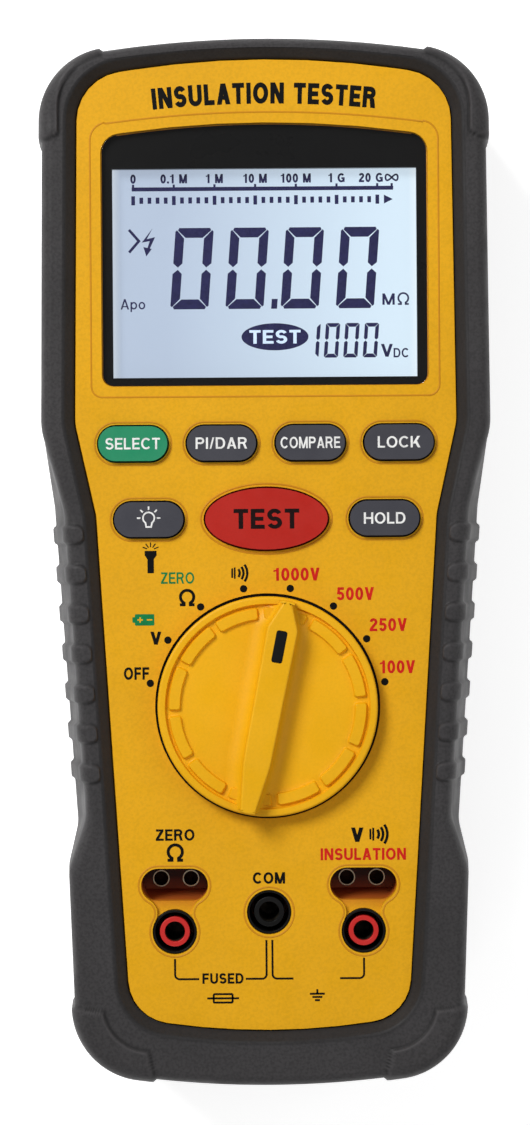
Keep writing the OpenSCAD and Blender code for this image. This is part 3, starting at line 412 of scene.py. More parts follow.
class Shape:
    """Collects closed solids, in millimetres, that make up one piece."""

    def __init__(self):
        self.verts = []
        self.faces = []

    def add(self, verts, faces):
        first = len(self.verts)
        self.verts += [tuple(v) for v in verts]
        self.faces += [[first + i for i in f] for f in faces]

    def prism(self, outline, z0, z1):
        """A solid between two heights, over a closed outline."""
        n = len(outline)
        self.add([(x, y, z) for z in (z0, z1) for x, y in outline],
                 [list(range(n))[::-1], list(range(n, 2 * n))]
                 + [[i, (i + 1) % n, n + (i + 1) % n, n + i] for i in range(n)])

    def stroke(self, points, width, z0, z1, closed=False):
        """A flat line of that width along points."""
        path = np.array(points, float)
        ahead = np.roll(path, -1, 0) - path
        behind = path - np.roll(path, 1, 0)
        if not closed:
            ahead[-1], behind[0] = behind[-1], ahead[0]
        ahead /= np.linalg.norm(ahead, axis=1)[:, None]
        behind /= np.linalg.norm(behind, axis=1)[:, None]
        along = ahead + behind
        square = np.stack([-along[:, 1], along[:, 0]], 1)
        square *= (width / np.maximum((along ** 2).sum(1), 0.7))[:, None]
        left, right = path + square, path - square
        n = len(path)
        verts = [(*p, z) for z in (z0, z1) for side in (left, right) for p in side]
        faces = []
        for i in range(n if closed else n - 1):
            j = (i + 1) % n
            faces += [[i, j, n + j, n + i], [2 * n + i, 3 * n + i, 3 * n + j, 2 * n + j],
                      [i, 2 * n + i, 2 * n + j, j], [n + i, n + j, 3 * n + j, 3 * n + i]]
        if not closed:
            faces += [[0, n, 3 * n, 2 * n],
                      [n - 1, 3 * n - 1, 4 * n - 1, 2 * n - 1]]
        self.add(verts, faces)

    def sweep(self, path, section, z):
        """A closed ring: section is a list of (offset to the left, height) pairs."""
        path = np.array(path, float)
        along = np.roll(path, -1, 0) - np.roll(path, 1, 0)
        along /= np.linalg.norm(along, axis=1)[:, None]
        left = np.stack([-along[:, 1], along[:, 0]], 1)
        n, m = len(path), len(section)
        verts = [(*(p + s * d), z + h) for p, s in zip(path, left) for d, h in section]
        faces = [[i * m + k, i * m + (k + 1) % m, (i + 1) % n * m + (k + 1) % m,
                  (i + 1) % n * m + k] for i in range(n) for k in range(m)]
        self.add(verts, faces)

    def word(self, text, x, y, height, z, width=None, t=0.19, bend=None):
        """Lettering centred on x, y, with strokes of t times its height. It may be bent over
        a circle of that radius below it."""
        letters = Shape()
        end = 0
        for letter in text:
            end += glyph(letters, letter, end, t) + LETTER_GAP
        co = np.array(letters.verts)
        end -= LETTER_GAP
        wide = (width or end * height) / end
        flat = np.stack([(co[:, 0] - end / 2) * wide, (co[:, 1] - 0.5) * height], 1)
        if bend:
            turn, reach = flat[:, 0] / bend, bend + flat[:, 1]
            flat = np.stack([reach * np.sin(turn), reach * np.cos(turn) - bend], 1)
        tops = np.where(co[:, 2] > 0, z + PRINT_T * co[:, 2] / 10, z - LEGEND_SINK)
        self.add(np.column_stack([flat[:, 0] + x, flat[:, 1] + y, tops]), letters.faces)

    def build(self, name, look, body, slot=None, smooth=False):
        """Makes the piece, welds its seams and lets it ride on a body."""
        mesh = bpy.data.meshes.new(name)
        mesh.from_pydata([tuple(c * MM for c in v) for v in self.verts], [], self.faces)
        work = bmesh.new()
        work.from_mesh(mesh)
        bmesh.ops.remove_doubles(work, verts=work.verts, dist=1e-8)
        bmesh.ops.recalc_face_normals(work, faces=work.faces)
        work.to_mesh(mesh)
        work.free()
        for polygon in mesh.polygons:
            polygon.use_smooth = smooth
        piece = bpy.data.objects.new(name, mesh)
        bpy.context.scene.collection.objects.link(piece)
        mesh.materials.append(LOOKS[look])
        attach(piece, body)
        return piece


def arc(x, y, radius, start, end, steps=None):
    """Points along an arc, in degrees anticlockwise from +X."""
    steps = steps or max(4, int(abs(end - start) / 7))
    return [(x + radius * math.cos(math.radians(start + (end - start) * i / steps)),
             y + radius * math.sin(math.radians(start + (end - start) * i / steps)))
            for i in range(steps + 1)]


def circle(x, y, radius, steps=40):
    return arc(x, y, radius, 0, 360, steps)[:-1]


def ellipse(x, y, half_w, half_h, steps=64):
    return [(x + half_w * math.cos(t), y + half_h * math.sin(t))
            for t in (math.tau * i / steps for i in range(steps))]


def rounded_box(x, y, w, h, r, steps=8):
    points = []
    for k, (sx, sy) in enumerate(((1, 1), (-1, 1), (-1, -1), (1, -1))):
        points += arc(x + sx * (w / 2 - r), y + sy * (h / 2 - r), r, 90 * k, 90 * k + 90, steps)
    return points


# ---- Holster ----
# Outline corners of the right half, from the jack end: x, y and corner radius.

WIDE = [(0, -107.65, 200), (39.3, -102.6, 15), (41.2, -62, 7), (39.2, -53.5, 9),
        (43.6, 11.5, 16), (46, 27.5, 14), (45.1, 101.8, 15), (0, 108.37, 224)]
FRONT = [(0, -107.33, 200), (38.9, -102.35, 14.5), (40.4, -62, 7), (36.9, -51.5, 9),
         (40.9, 10.5, 16), (45.4, 27, 14), (44.7, 101.5, 14.5), (0, 107.8, 224)]
PANEL = [(0, -95.9, 140), (28, -91.8, 9), (34.3, 9.5, 10), (38.4, 28, 10),
         (37.6, 97.6, 10), (0, 103.2, 181)]
# Corners of the front outline that lie beside each corner of the panel
BESIDE = [0, 1, 4, 5, 6, 7, 8, 9, 10, 13]
# Corners where the waist begins and ends, which need finer steps
WAIST_CORNERS = (3, 10)
# Heights of the flat border round the face, and of the widest outline
BORDER_Z = 46.0
WIDEST_Z = 29.0
# Rounded front and back edges: height and how far each comes in
EDGE_H, EDGE_IN = 3.4, 2.2
BACK_H, BACK_IN = 2.4, 1.8
# The pocket that holds the case: wall thickness, and the shoulders at its two ends
POCKET_IN, BACK_POCKET_IN = 2.5, 4.3
SHOULDER_Z = 41.7
BACK_STEP_Z = 3.2
# The lip round the face: its distance from the panel's outline, low and high
LIP_OUT, LIP_TOP_OUT = 0.3, 2.2
# How far pads and ribs stand out
PROUD = 0.68
# Grip ribs: place of the first, pitch, width, number, lowest point and reach onto the face
RIB_Y, RIB_PITCH, RIB_W, RIB_COUNT = 5.7, 8.02, 3.5, 7
RIB_BOTTOM_Z, RIB_REACH = 13.0, 4.0


def corner_arcs(half, d):
    """Centre, start and turn of each rounded corner of an outline moved inwards by d."""
    path = np.array(half + [(-x, y, r) for x, y, r in half[-2:0:-1]], float)
    into = path[:, :2] - np.roll(path, 1, 0)[:, :2]
    into /= np.linalg.norm(into, axis=1)[:, None]
    out = np.roll(into, -1, 0)
    bend = into[:, 0] * out[:, 1] - into[:, 1] * out[:, 0]
    square = np.stack([-(into + out)[:, 1], (into + out)[:, 0]], 1)
    apex = path[:, :2] + square * (d / (1 + (into * out).sum(1)))[:, None]
    radius = np.maximum(path[:, 2] - np.sign(bend) * d, 0.2)
    half_angle = np.arccos(np.clip(-(into * out).sum(1), -1, 1)) / 2
    centre = out - into
    centre *= (radius / np.sin(half_angle) / np.linalg.norm(centre, axis=1))[:, None]
    start = -into * (radius / np.tan(half_angle))[:, None] - centre
    return apex + centre, start, np.sign(bend) * (math.pi - 2 * half_angle)


def along_outline(half, d, stations):
    """Points of an outline: a station is (corner, share of its arc, share of the edge after)."""
    centre, start, turn = corner_arcs(half, d)
    corner, u, v = stations[:, 0].astype(int), stations[:, 1], stations[:, 2]
    after = (corner + 1) % len(centre)
    t = turn[corner] * u
    s = start[corner]
    here = centre[corner] + np.stack([s[:, 0] * np.cos(t) - s[:, 1] * np.sin(t),
                                      s[:, 0] * np.sin(t) + s[:, 1] * np.cos(t)], 1)
    there = centre[after] + start[after]
    return here + (there - here) * v[:, None]


def stations_of(half, spacing):
    """Stations round an outline from the middle of its first corner. spacing gives the
    greatest gap after each corner."""
    centre, start, turn = corner_arcs(half, 0)
    n = len(centre)
    made = []
    for k in range(n):
        length = abs(turn[k]) * np.linalg.norm(start[k])
        steps = 2 * max(3, int(length / spacing(k) / 2))
        made += [(k, i / steps, 0) for i in range(steps + 1)]
        ends = along_outline(half, 0, np.array([(k, 1, 0), (k, 1, 1)], float))
        steps = max(1, int(np.linalg.norm(ends[1] - ends[0]) / spacing(k)))
        made += [(k, 1, i / steps) for i in range(1, steps)]
    first = made.index((0, 0.5, 0))
    return np.array(made[first:] + made[:first], float)


def lengths(points):
    """Distance travelled round a closed outline at each point, and all round at the end."""
    steps = np.linalg.norm(np.roll(points, -1, 0) - points, axis=1)
    return np.concatenate([[0], np.cumsum(steps)])


def beside_panel(stations, d):
    """Points of the panel's outline, moved outwards by d, beside each holster station."""
    holster_run = lengths(along_outline(FRONT, 0, stations))
    marks = [int(np.flatnonzero((stations[:, 0] == k) & (stations[:, 1] == 0.5))[0])
             for k in BESIDE]
    fine = stations_of(PANEL, lambda k: 0.4)
    outline = along_outline(PANEL, -d, fine)
    run = lengths(outline)
    panel_marks = [int(np.flatnonzero((fine[:, 0] == k) & (fine[:, 1] == 0.5))[0])
                   for k in range(len(BESIDE))]
    at = np.interp(holster_run[:-1], [*holster_run[marks], holster_run[-1]],
                   [*run[panel_marks], run[-1]])
    closed = np.vstack([outline, outline[:1]])
    return np.stack([np.interp(at, run, closed[:, i]) for i in (0, 1)], 1)


def ramp(distance, width):
    """0 to 1, smoothly, as a signed distance goes from outside to inside an edge."""
    t = np.clip(distance / width + 0.5, 0, 1)
    return t * t * (3 - 2 * t)


def outside_box(x, y, half_w, end_y, r):
    """Distance outside a box with rounded corners that is open towards y = 0."""
    qx, qy = np.abs(x) - half_w + r, y - end_y + r
    corner = np.hypot(np.maximum(qx, 0), np.maximum(qy, 0))
    return corner + np.minimum(np.maximum(qx, qy), 0) - r


def raised(points):
    """How far pads and ribs stand out at points of the holster's skin, and the shares of
    painted shade along their steps and of painted highlight beside their edges."""
    x, y, z = np.abs(points[:, 0]), points[:, 1], points[:, 2]
    display_end = np.minimum.reduce([outside_box(x, y, 41.4, 102.5, 11),
                                     x - 32.3 + 0.25 * (y - 105), y - 85.4 + 0.35 * (x - 44)])
    jack_end = np.minimum.reduce([outside_box(x, -y, 33.6, 98.4, 9.5),
                                  x - 23.6 - 0.2 * (y + 103), -89.8 - y + 0.1 * (x - 39)])
    pad_edge = np.maximum(display_end, jack_end)
    pad = ramp(pad_edge, 0.5) * ramp(z - 5, 0.8)
    # Painted shade in a line along the steps of the pads
    painted_shade = np.exp(-((pad_edge + 0.3) / 0.28) ** 2) * ramp(z - 30, 20)
    waist = np.interp(y, (-51.5, 10.5), (36.9, 40.9))
    inner = waist - RIB_REACH + RIB_W / 2
    rib = np.full(len(x), -9.0)
    for k in range(RIB_COUNT):
        off = np.abs(y - RIB_Y + k * RIB_PITCH)
        rib = np.maximum(rib, RIB_W / 2 - np.where(x > inner, off, np.hypot(inner - x, off)))
    rib = np.minimum(rib, z - RIB_BOTTOM_Z)
    # Painted shade along the steps of the ribs too
    painted_shade = np.maximum(painted_shade, 0.8 * np.exp(-((rib + 0.22) / 0.24) ** 2) * ramp(z - 41, 8))
    # Painted highlight just beside the edges of the pads and ribs
    painted_highlight = (0.4 * np.exp(-((pad_edge - 0.3) / 0.25) ** 2)
            + 0.15 * np.exp(-((rib - 0.35) / 0.3) ** 2)) * ramp(z - 30, 20)
    return PROUD * np.maximum(pad, ramp(rib, 0.7)), painted_shade, painted_highlight


def holster_rings():
    """Rings of points from the back opening up the pocket and lip, and then over the border
    and down the outside."""
    stations = stations_of(FRONT, lambda k: 0.33 if k in WAIST_CORNERS else 0.62)

    def level(points, z):
        return np.column_stack([points, np.full(len(points), z)])

    def front(d, z):
        return level(along_outline(FRONT, d, stations), z)

    def wide(d, z):
        return level(along_outline(WIDE, d, stations), z)

    def lip(d, z):
        return level(beside_panel(stations, d), z)

    pocket = [front(BACK_POCKET_IN, 0), front(BACK_POCKET_IN, BACK_STEP_Z),
              front(POCKET_IN, BACK_STEP_Z), front(POCKET_IN, SHOULDER_Z),
              lip(LIP_OUT, SHOULDER_Z), lip(LIP_OUT, FACE_Z - 0.4), lip(LIP_OUT + 0.08, FACE_Z)]
    slope = (BORDER_Z - FACE_Z) / (LIP_TOP_OUT - LIP_OUT)
    for d in (0.5, 0.9, 1.3, 1.6, 1.8):
        pocket.append(lip(LIP_OUT + d, FACE_Z + slope * (d - 0.08)))
    pocket.append(lip(LIP_TOP_OUT + 0.15, BORDER_Z - 0.05))
    inner_edge, outer_edge = lip(LIP_TOP_OUT + 0.5, BORDER_Z), front(EDGE_IN, BORDER_Z)
    skin = [inner_edge + (outer_edge - inner_edge) * i / 30 for i in range(31)]
    for i in range(1, 11):
        t = math.radians(9 * i)
        skin.append(front(EDGE_IN * (1 - math.sin(t)), BORDER_Z - EDGE_H * (1 - math.cos(t))))
    upper, widest = front(0, BORDER_Z - EDGE_H), wide(0, WIDEST_Z)
    skin += [upper + (widest - upper) * i / 10 for i in range(1, 11)]
    lower = [27, 24, 21, 18, 15.5, 14, 13.6, 13.2, 12.8, 12.4, 12, 10.5, 8.5, 6.8, 5.8, 5.5,
             5.2, 4.9, 4.6, 4.2, 3.4]
    skin += [wide(0.35 * (WIDEST_Z - z) / WIDEST_Z, z) for z in lower]
    for i in range(1, 7):
        t = math.radians(15 * i)
        skin.append(wide(0.33 + (BACK_IN - 0.33) * (1 - math.cos(t)), BACK_H * (1 - math.sin(t))))
    return np.array(pocket), np.array(skin)


def holster():
    """The rubber shell, with its pads and ribs pushed out of the skin."""
    pocket, skin = holster_rings()
    across = np.gradient(skin, axis=0)
    around = np.roll(skin, -1, 1) - np.roll(skin, 1, 1)
    square = np.cross(around, across)
    square /= np.linalg.norm(square, axis=2)[:, :, None]
    square *= -np.sign(square[15, 0, 2])
    out, painted_shade, painted_highlight = (a.reshape(skin.shape[:2]) for a in raised(skin.reshape(-1, 3)))
    out[:3] *= np.array([0, 0.4, 0.8])[:, None]
    skin -= square * out[:, :, None]
    rings = np.concatenate([pocket, skin])
    rows, n = rings.shape[:2]
    shell = Shape()
    index = np.arange(rows * n).reshape(rows, n)
    corners = [index, np.roll(index, -1, 1), np.roll(np.roll(index, -1, 0), -1, 1),
               np.roll(index, -1, 0)]
    shell.add(rings.reshape(-1, 3), np.stack(corners, 2).reshape(-1, 4).tolist())
    piece = shell.build("rubber_holster", "holster_rubber", "case", "holster_rubber", True)
    # Painted shade: along the steps of the pads and ribs, over the whole lip round the face, and
    # fading onto the border beside it
    shade = np.zeros((rows, n))
    shade[len(pocket):] = 0.75 * painted_shade
    shade[4:len(pocket)] = 0.6
    shade[len(pocket)] = 0.45
    shade[len(pocket) + 1] = 0.15
    # Painted highlight beside the edges of the pads and ribs
    pale = np.zeros((rows, n))
    pale[len(pocket):] = painted_highlight
    for name, values in (("painted_shade", shade), ("painted_highlight", pale)):
        mark = piece.data.attributes.new(name, "FLOAT", "POINT")
        mark.data.foreach_set("value", values.ravel())
    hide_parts("holster")


# ---- Selector knob ----
# Drawn with its pointer towards +Y, then turned to where it rests.

# Printed marks round the knob, and the degrees from one to the next
MARKS = 8
MARK_TURN = 22.5
POINTER_TURN = -MARK_TURN / 2
# Heights of the disc's rim, its dish and its underside
DISC_Z = FACE_Z + 3.8
DISH_Z = DISC_Z - 1.0
DISC_BOTTOM_Z = FACE_Z - 0.4
SHAFT_R = 5.94
RIM_IN_R = KNOB_R - 1.7
# The ring of small blocks in the dish: radii, height, number and degrees each takes up
BLOCK_IN_R, BLOCK_OUT_R, BLOCK_H = 17.4, 20.0, 0.85
BLOCKS, BLOCK_TURN = 12, 27.0
# Right half of the handle's outline, from its tail: x, y and corner radius
HANDLE_TIP = KNOB_R - 0.3
HANDLE = [(0, -HANDLE_TIP, 8), (1.5, 0.3 - HANDLE_TIP, 0.5), (2.79, -11.5, 25),
          (3.1, HANDLE_TIP - 5.9, 3), (0.75, HANDLE_TIP - 0.2, 0.5), (0, HANDLE_TIP, 6)]
# Foot of the handle: how far it flares out, and how high
FLARE_OUT, FLARE_H = 3.4, 2.4
HANDLE_ROUND = 0.45
# Slot for the pointer insert
INSERT_Y, INSERT_W, INSERT_L, INSERT_DEPTH = 12.3, 2.1, 6.4, 0.8


def disc_top(r, turn):
    """Height of the knob's disc: a rim, a dish and a ring of rounded blocks."""
    share = 360 / BLOCKS
    off = np.radians(np.abs((turn + share / 2) % share - share / 2)) * r
    across = np.abs(r - (BLOCK_IN_R + BLOCK_OUT_R) / 2)
    corner = 0.7
    qx = off - (r * math.radians(BLOCK_TURN / 2) - corner)
    qy = across - ((BLOCK_OUT_R - BLOCK_IN_R) / 2 - corner)
    outside = (np.hypot(np.maximum(qx, 0), np.maximum(qy, 0))
               + np.minimum(np.maximum(qx, qy), 0) - corner)
    block = ramp(-outside - 0.12, 0.36)
    rim = ramp(r - RIM_IN_R - 0.1, 0.3)
    return DISH_Z + BLOCK_H * block + (DISC_Z - DISH_Z) * rim


def disc_rings():
    """Radius and drop of each ring of the disc's skin, from its middle to the underside."""
    flat = [2, 6, 10, 13, 15, 16.4, 17.1]
    flat += [BLOCK_IN_R + 0.07 * i for i in range(10)] + [18.2, 18.7, 19.2]
    flat += [BLOCK_OUT_R - 0.07 * i for i in range(9, -1, -1)] + [20.12, 20.22]
    flat += [RIM_IN_R + 0.06 * i for i in range(-1, 6)] + [21.0, 21.4]
    edge = 0.5
    rings = [(r, 0) for r in flat]
    for i in range(7):
        t = math.radians(15 * i)
        rings.append((KNOB_R - edge * (1 - math.sin(t)), edge * (1 - math.cos(t))))
    depth = DISC_Z - DISC_BOTTOM_Z
    return rings + [(KNOB_R, depth * 0.5), (KNOB_R, depth - 0.15), (KNOB_R - 0.15, depth),
                    (SHAFT_R, depth)]


def knob_disc(shape):
    """The disc as rings of points, closed by its shaft."""
    steps = 720
    turn = np.arange(steps) * 360 / steps
    angle = np.radians(turn + 90)
    rings = []
    for r, drop in disc_rings():
        z = disc_top(np.full(steps, r), turn) - drop
        rings.append(np.column_stack([r * np.cos(angle), r * np.sin(angle), z]))
    shaft_z = low("selector_knob").z
    rings.append(rings[-1] * (1, 1, 0) + (0, 0, shaft_z))
    verts = [(0, 0, DISH_Z)] + [tuple(v) for ring in rings for v in ring] + [(0, 0, shaft_z)]
    last = len(verts) - 1
    faces = [[0, 1 + i, 1 + (i + 1) % steps] for i in range(steps)]
    for k in range(len(rings) - 1):
        a, b = 1 + k * steps, 1 + (k + 1) * steps
        faces += [[a + i, b + i, b + (i + 1) % steps, a + (i + 1) % steps] for i in range(steps)]
    end = 1 + (len(rings) - 1) * steps
    faces += [[last, end + (i + 1) % steps, end + i] for i in range(steps)]
    shape.add(verts, faces)


def knob_handle(shape):
    """A tapered bar on hollow flares, with a slot in its top for the pointer insert."""
    stations = stations_of(HANDLE, lambda k: 0.35)
    base = along_outline(HANDLE, 0, stations)
    reach = np.maximum(np.linalg.norm(base, axis=1), RIM_IN_R - 0.05)
    top = high("selector_knob").z
    levels = [(DISH_Z - 0.4, -FLARE_OUT)]
    for i in range(11):
        t = math.radians(90 - 9 * i)
        levels.append((DISH_Z + FLARE_H * (1 - math.sin(t)), -FLARE_OUT * (1 - math.cos(t))))
    levels += [(DISH_Z + FLARE_H + 0.3, 0), (top - HANDLE_ROUND - 0.2, 0)]
    for i in range(7):
        t = math.radians(15 * i)
        levels.append((top - HANDLE_ROUND * (1 - math.sin(t)), HANDLE_ROUND * (1 - math.cos(t))))
    levels.append((top, HANDLE_ROUND + 0.06))
    n, verts = len(base), []
    for z, d in levels:
        ring = along_outline(HANDLE, d, stations)
        over = np.minimum(1, reach / np.linalg.norm(ring, axis=1))
        verts += [(x, y, z) for x, y in ring * over[:, None]]
    faces = [list(range(n))[::-1]]
    for k in range(len(levels) - 1):
        a, b = k * n, (k + 1) * n
        faces += [[a + i, a + (i + 1) % n, b + (i + 1) % n, b + i] for i in range(n)]
    slot = rounded_box(0, INSERT_Y, INSERT_W + 0.12, INSERT_L + 0.12, 0.5, 4)
    rim, m = len(verts), len(slot)
    verts += [(x, y, z) for z in (top, top - INSERT_DEPTH) for x, y in slot]
    outer = [Vector(v) for v in verts[rim - n:rim]]
    inner = [Vector(v) for v in verts[rim:rim + m]]
    faces += [[rim - n + i for i in tri] for tri in tessellate_polygon([outer, inner])]
    faces += [[rim + i, rim + (i + 1) % m, rim + m + (i + 1) % m, rim + m + i] for i in range(m)]
    faces.append([rim + m + i for i in range(m)])
    shape.add(verts, faces)


def knob():
    shape = Shape()
    knob_disc(shape)
    knob_handle(shape)
    c, s = math.cos(math.radians(POINTER_TURN)), math.sin(math.radians(POINTER_TURN))
    shape.verts = [(KNOB.x + x * c - y * s, KNOB.y + x * s + y * c, z) for x, y, z in shape.verts]
    piece = shape.build("knob_body", "knob_yellow", "selector", "knob_yellow", True)
    piece.data.set_sharp_from_angle(angle=math.radians(50))
    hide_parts("selector_knob")


# ---- Lettering ----
# A plain capital alphabet, drawn with bars, slanted bars and curved strokes. Each letter is
# one unit high, and glyph() returns its width.

LETTER_GAP = 0.12
SPACE_W = 0.3


def oval_arc(x, y, rx, ry, start, end, steps=14):
    turns = [math.radians(start + (end - start) * i / steps) for i in range(steps + 1)]
    return [(x + rx * math.cos(a), y + ry * math.sin(a)) for a in turns]


def glyph(shape, letter, x, t):
    """Adds a letter with its left side at x and strokes t thick."""
    half = t / 2
    tops = itertools.count(10)

    def bar(x0, y0, x1, y1):
        shape.prism([(x + x0, y0), (x + x1, y0), (x + x1, y1), (x + x0, y1)], 0, next(tops))

    def slant(foot, top, y0=0, y1=1, w=1.1 * t):
        shape.prism([(x + foot, y0), (x + foot + w, y0), (x + top + w, y1), (x + top, y1)],
                    0, next(tops))

    def curve(points, closed=False):
        shape.stroke([(x + px, py) for px, py in points], t, 0, next(tops), closed)

    def ring(cx, cy, rx, ry):
        curve(oval_arc(cx, cy, rx, ry, 0, 360, 28)[:-1], True)

    wide = 1.1 * t
    if letter == "I":
        bar(0, 0, t, 1)
        return t
    if letter == "L":
        bar(0, 0, t, 1)
        bar(t, 0, 0.56, t)
        return 0.56
    if letter == "T":
        bar(0, 1 - t, 0.64, 1)
        bar(0.32 - half, 0, 0.32 + half, 1 - t)
        return 0.64
    if letter in "EF":
        bar(0, 0, t, 1)
        bar(t, 1 - t, 0.6, 1)
        bar(t, 0.5 - half, 0.55, 0.5 + half)
        if letter == "E":
            bar(t, 0, 0.61, t)
        return 0.6
    if letter == "H":
        bar(0, 0, t, 1)
        bar(0.72 - t, 0, 0.72, 1)
        bar(t, 0.5 - half, 0.72 - t, 0.5 + half)
        return 0.72
    if letter == "N":
        bar(0, 0, t, 1)
        bar(0.73 - t, 0, 0.73, 1)
        slant(0.73 - wide, 0)
        return 0.73
    if letter == "M":
        bar(0, 0, t, 1)
        bar(0.86 - t, 0, 0.86, 1)
        slant(0.43 - wide / 2, 0)
        slant(0.43 - wide / 2, 0.86 - wide)
        return 0.86
    if letter == "V":
        slant(0.35 - wide / 2, 0)
        slant(0.35 - wide / 2, 0.7 - wide)
        return 0.7
    if letter == "A":
        slant(0, 0.37 - wide / 2)
        slant(0.74 - wide, 0.37 - wide / 2)
        bar(0.17, 0.22, 0.57, 0.22 + 0.8 * t)
        return 0.74
    if letter == "K":
        bar(0, 0, t, 1)
        slant(0.14, 0.72 - 1.3 * t, 0.34, 1, 1.3 * t)
        slant(0.75 - 1.3 * t, 0.26, 0, 0.6, 1.3 * t)
        return 0.75
    if letter == "Z":
        bar(0.02, 1 - t, 0.62, 1)
        bar(0, 0, 0.64, t)
        slant(0, 0.62 - 1.3 * t, t - 0.01, 1.01 - t, 1.3 * t)
        return 0.64
    if letter == "/":
        slant(0, 0.36 - t * 0.8, 0, 1, t * 0.8)
        return 0.36
    if letter == ".":
        bar(0, 0, t, t)
        return t
    if letter in "O0":
        w = 0.82 if letter == "O" else 0.6
        ring(w / 2, 0.5, w / 2 - half, 0.505 - half)
        return w
    if letter in "CG":
        curve(oval_arc(0.41, 0.5, 0.41 - half, 0.505 - half, 42, 318 if letter == "C" else 340, 26))
        if letter == "G":
            bar(0.42, 0.36, 0.78, 0.36 + 0.85 * t)
            bar(0.78 - 0.9 * t, 0.04, 0.78, 0.4)
        return 0.77
    if letter == "D":
        bar(0, 0, t, 1)
        curve([(t, 1 - half), (0.34, 1 - half)]
              + oval_arc(0.36, 0.5, 0.37 - half, 0.5 - half, 88, -88)
              + [(0.34, half), (t, half)])
        return 0.74
    if letter in "PR":
        bar(0, 0, t, 1)
        curve([(t, 1 - half), (0.38, 1 - half)]
              + oval_arc(0.4, 0.71, 0.27 - half, 0.29 - half, 88, -88)
              + [(0.38, 0.42 + half), (t, 0.42 + half)])
        if letter == "R":
            slant(0.71 - wide, 0.36, 0, 0.46)
        return 0.68 if letter == "P" else 0.72
    if letter == "U":
        curve([(half, 1), (half, 0.42)] + oval_arc(0.36, 0.36, 0.36 - half, 0.37 - half, 180, 360)
              + [(0.72 - half, 0.42), (0.72 - half, 1)])
        return 0.72
    if letter == "S":
        rx, ry = 0.33 - half, 0.26 - half * 0.52
        curve(oval_arc(0.33, 1.005 - half - ry, rx * 0.96, ry, 20, 262, 18)
              + oval_arc(0.33, half + ry - 0.005, rx, ry, 82, -160, 18))
        return 0.66
    if letter == "1":
        bar(0.4 - t, 0, 0.4, 1)
        shape.prism([(x, 0.68), (x + 0.4 - t, 0.74), (x + 0.4 - half, 1), (x + 0.26, 1),
                     (x + 0.18, 0.86), (x, 0.82)], 0, next(tops))
        return 0.46
    if letter == "2":
        curve(oval_arc(0.3, 0.71, 0.29 - half, 0.295 - half, 175, -35)
              + [(0.14, 0.22), (0.1, t * 0.6)])
        bar(0, 0, 0.58, t)
        return 0.59
    if letter == "5":
        bar(0.1, 1 - t, 0.56, 1)
        slant(0.03, 0.08, 0.46, 1, t * 0.95)
        curve(oval_arc(0.29, 0.33, 0.29 - half, 0.335 - half, 142, -158, 20))
        return 0.59
    if letter in "po":
        ring(0.29, 0.36, 0.29 - half, 0.36 - half)
        if letter == "p":
            bar(0, -0.25, t, 0.71)
        return 0.58
    return SPACE_W


# ---- Signs on the face ----

def omega(shape, x, y, size, width, z):
    """The ohm sign: an open ring on two feet."""
    r = size * 0.42
    ring = arc(x, y + size * 0.08, r, -62, 242, 28)
    foot = y - size * 0.5 + width / 2
    ends = (ring[0], ring[-1])
    points = ([(x + size * 0.46, foot), (ends[0][0], foot)] + ring
              + [(ends[1][0], foot), (x - size * 0.46, foot)])
    shape.stroke(points, width, z - LEGEND_SINK, z + PRINT_T)


def beeper(shape, x, y, size, z):
    """Three sound waves beside a small driver, growing to the right."""
    z0, z1 = z - LEGEND_SINK, z + PRINT_T
    for k, r in enumerate((0.42, 0.66, 0.9)):
        shape.stroke(arc(x - size * 0.35, y, r * size, -36, 36, 10), size * 0.15, z0, z1)
    for k, half in enumerate((0.3, 0.36)):
        left = x + size * (0.16 * k - 0.4)
        shape.prism(rounded_box(left, y, size * 0.11, 2 * half * size, size * 0.03, 2), z0, z1)


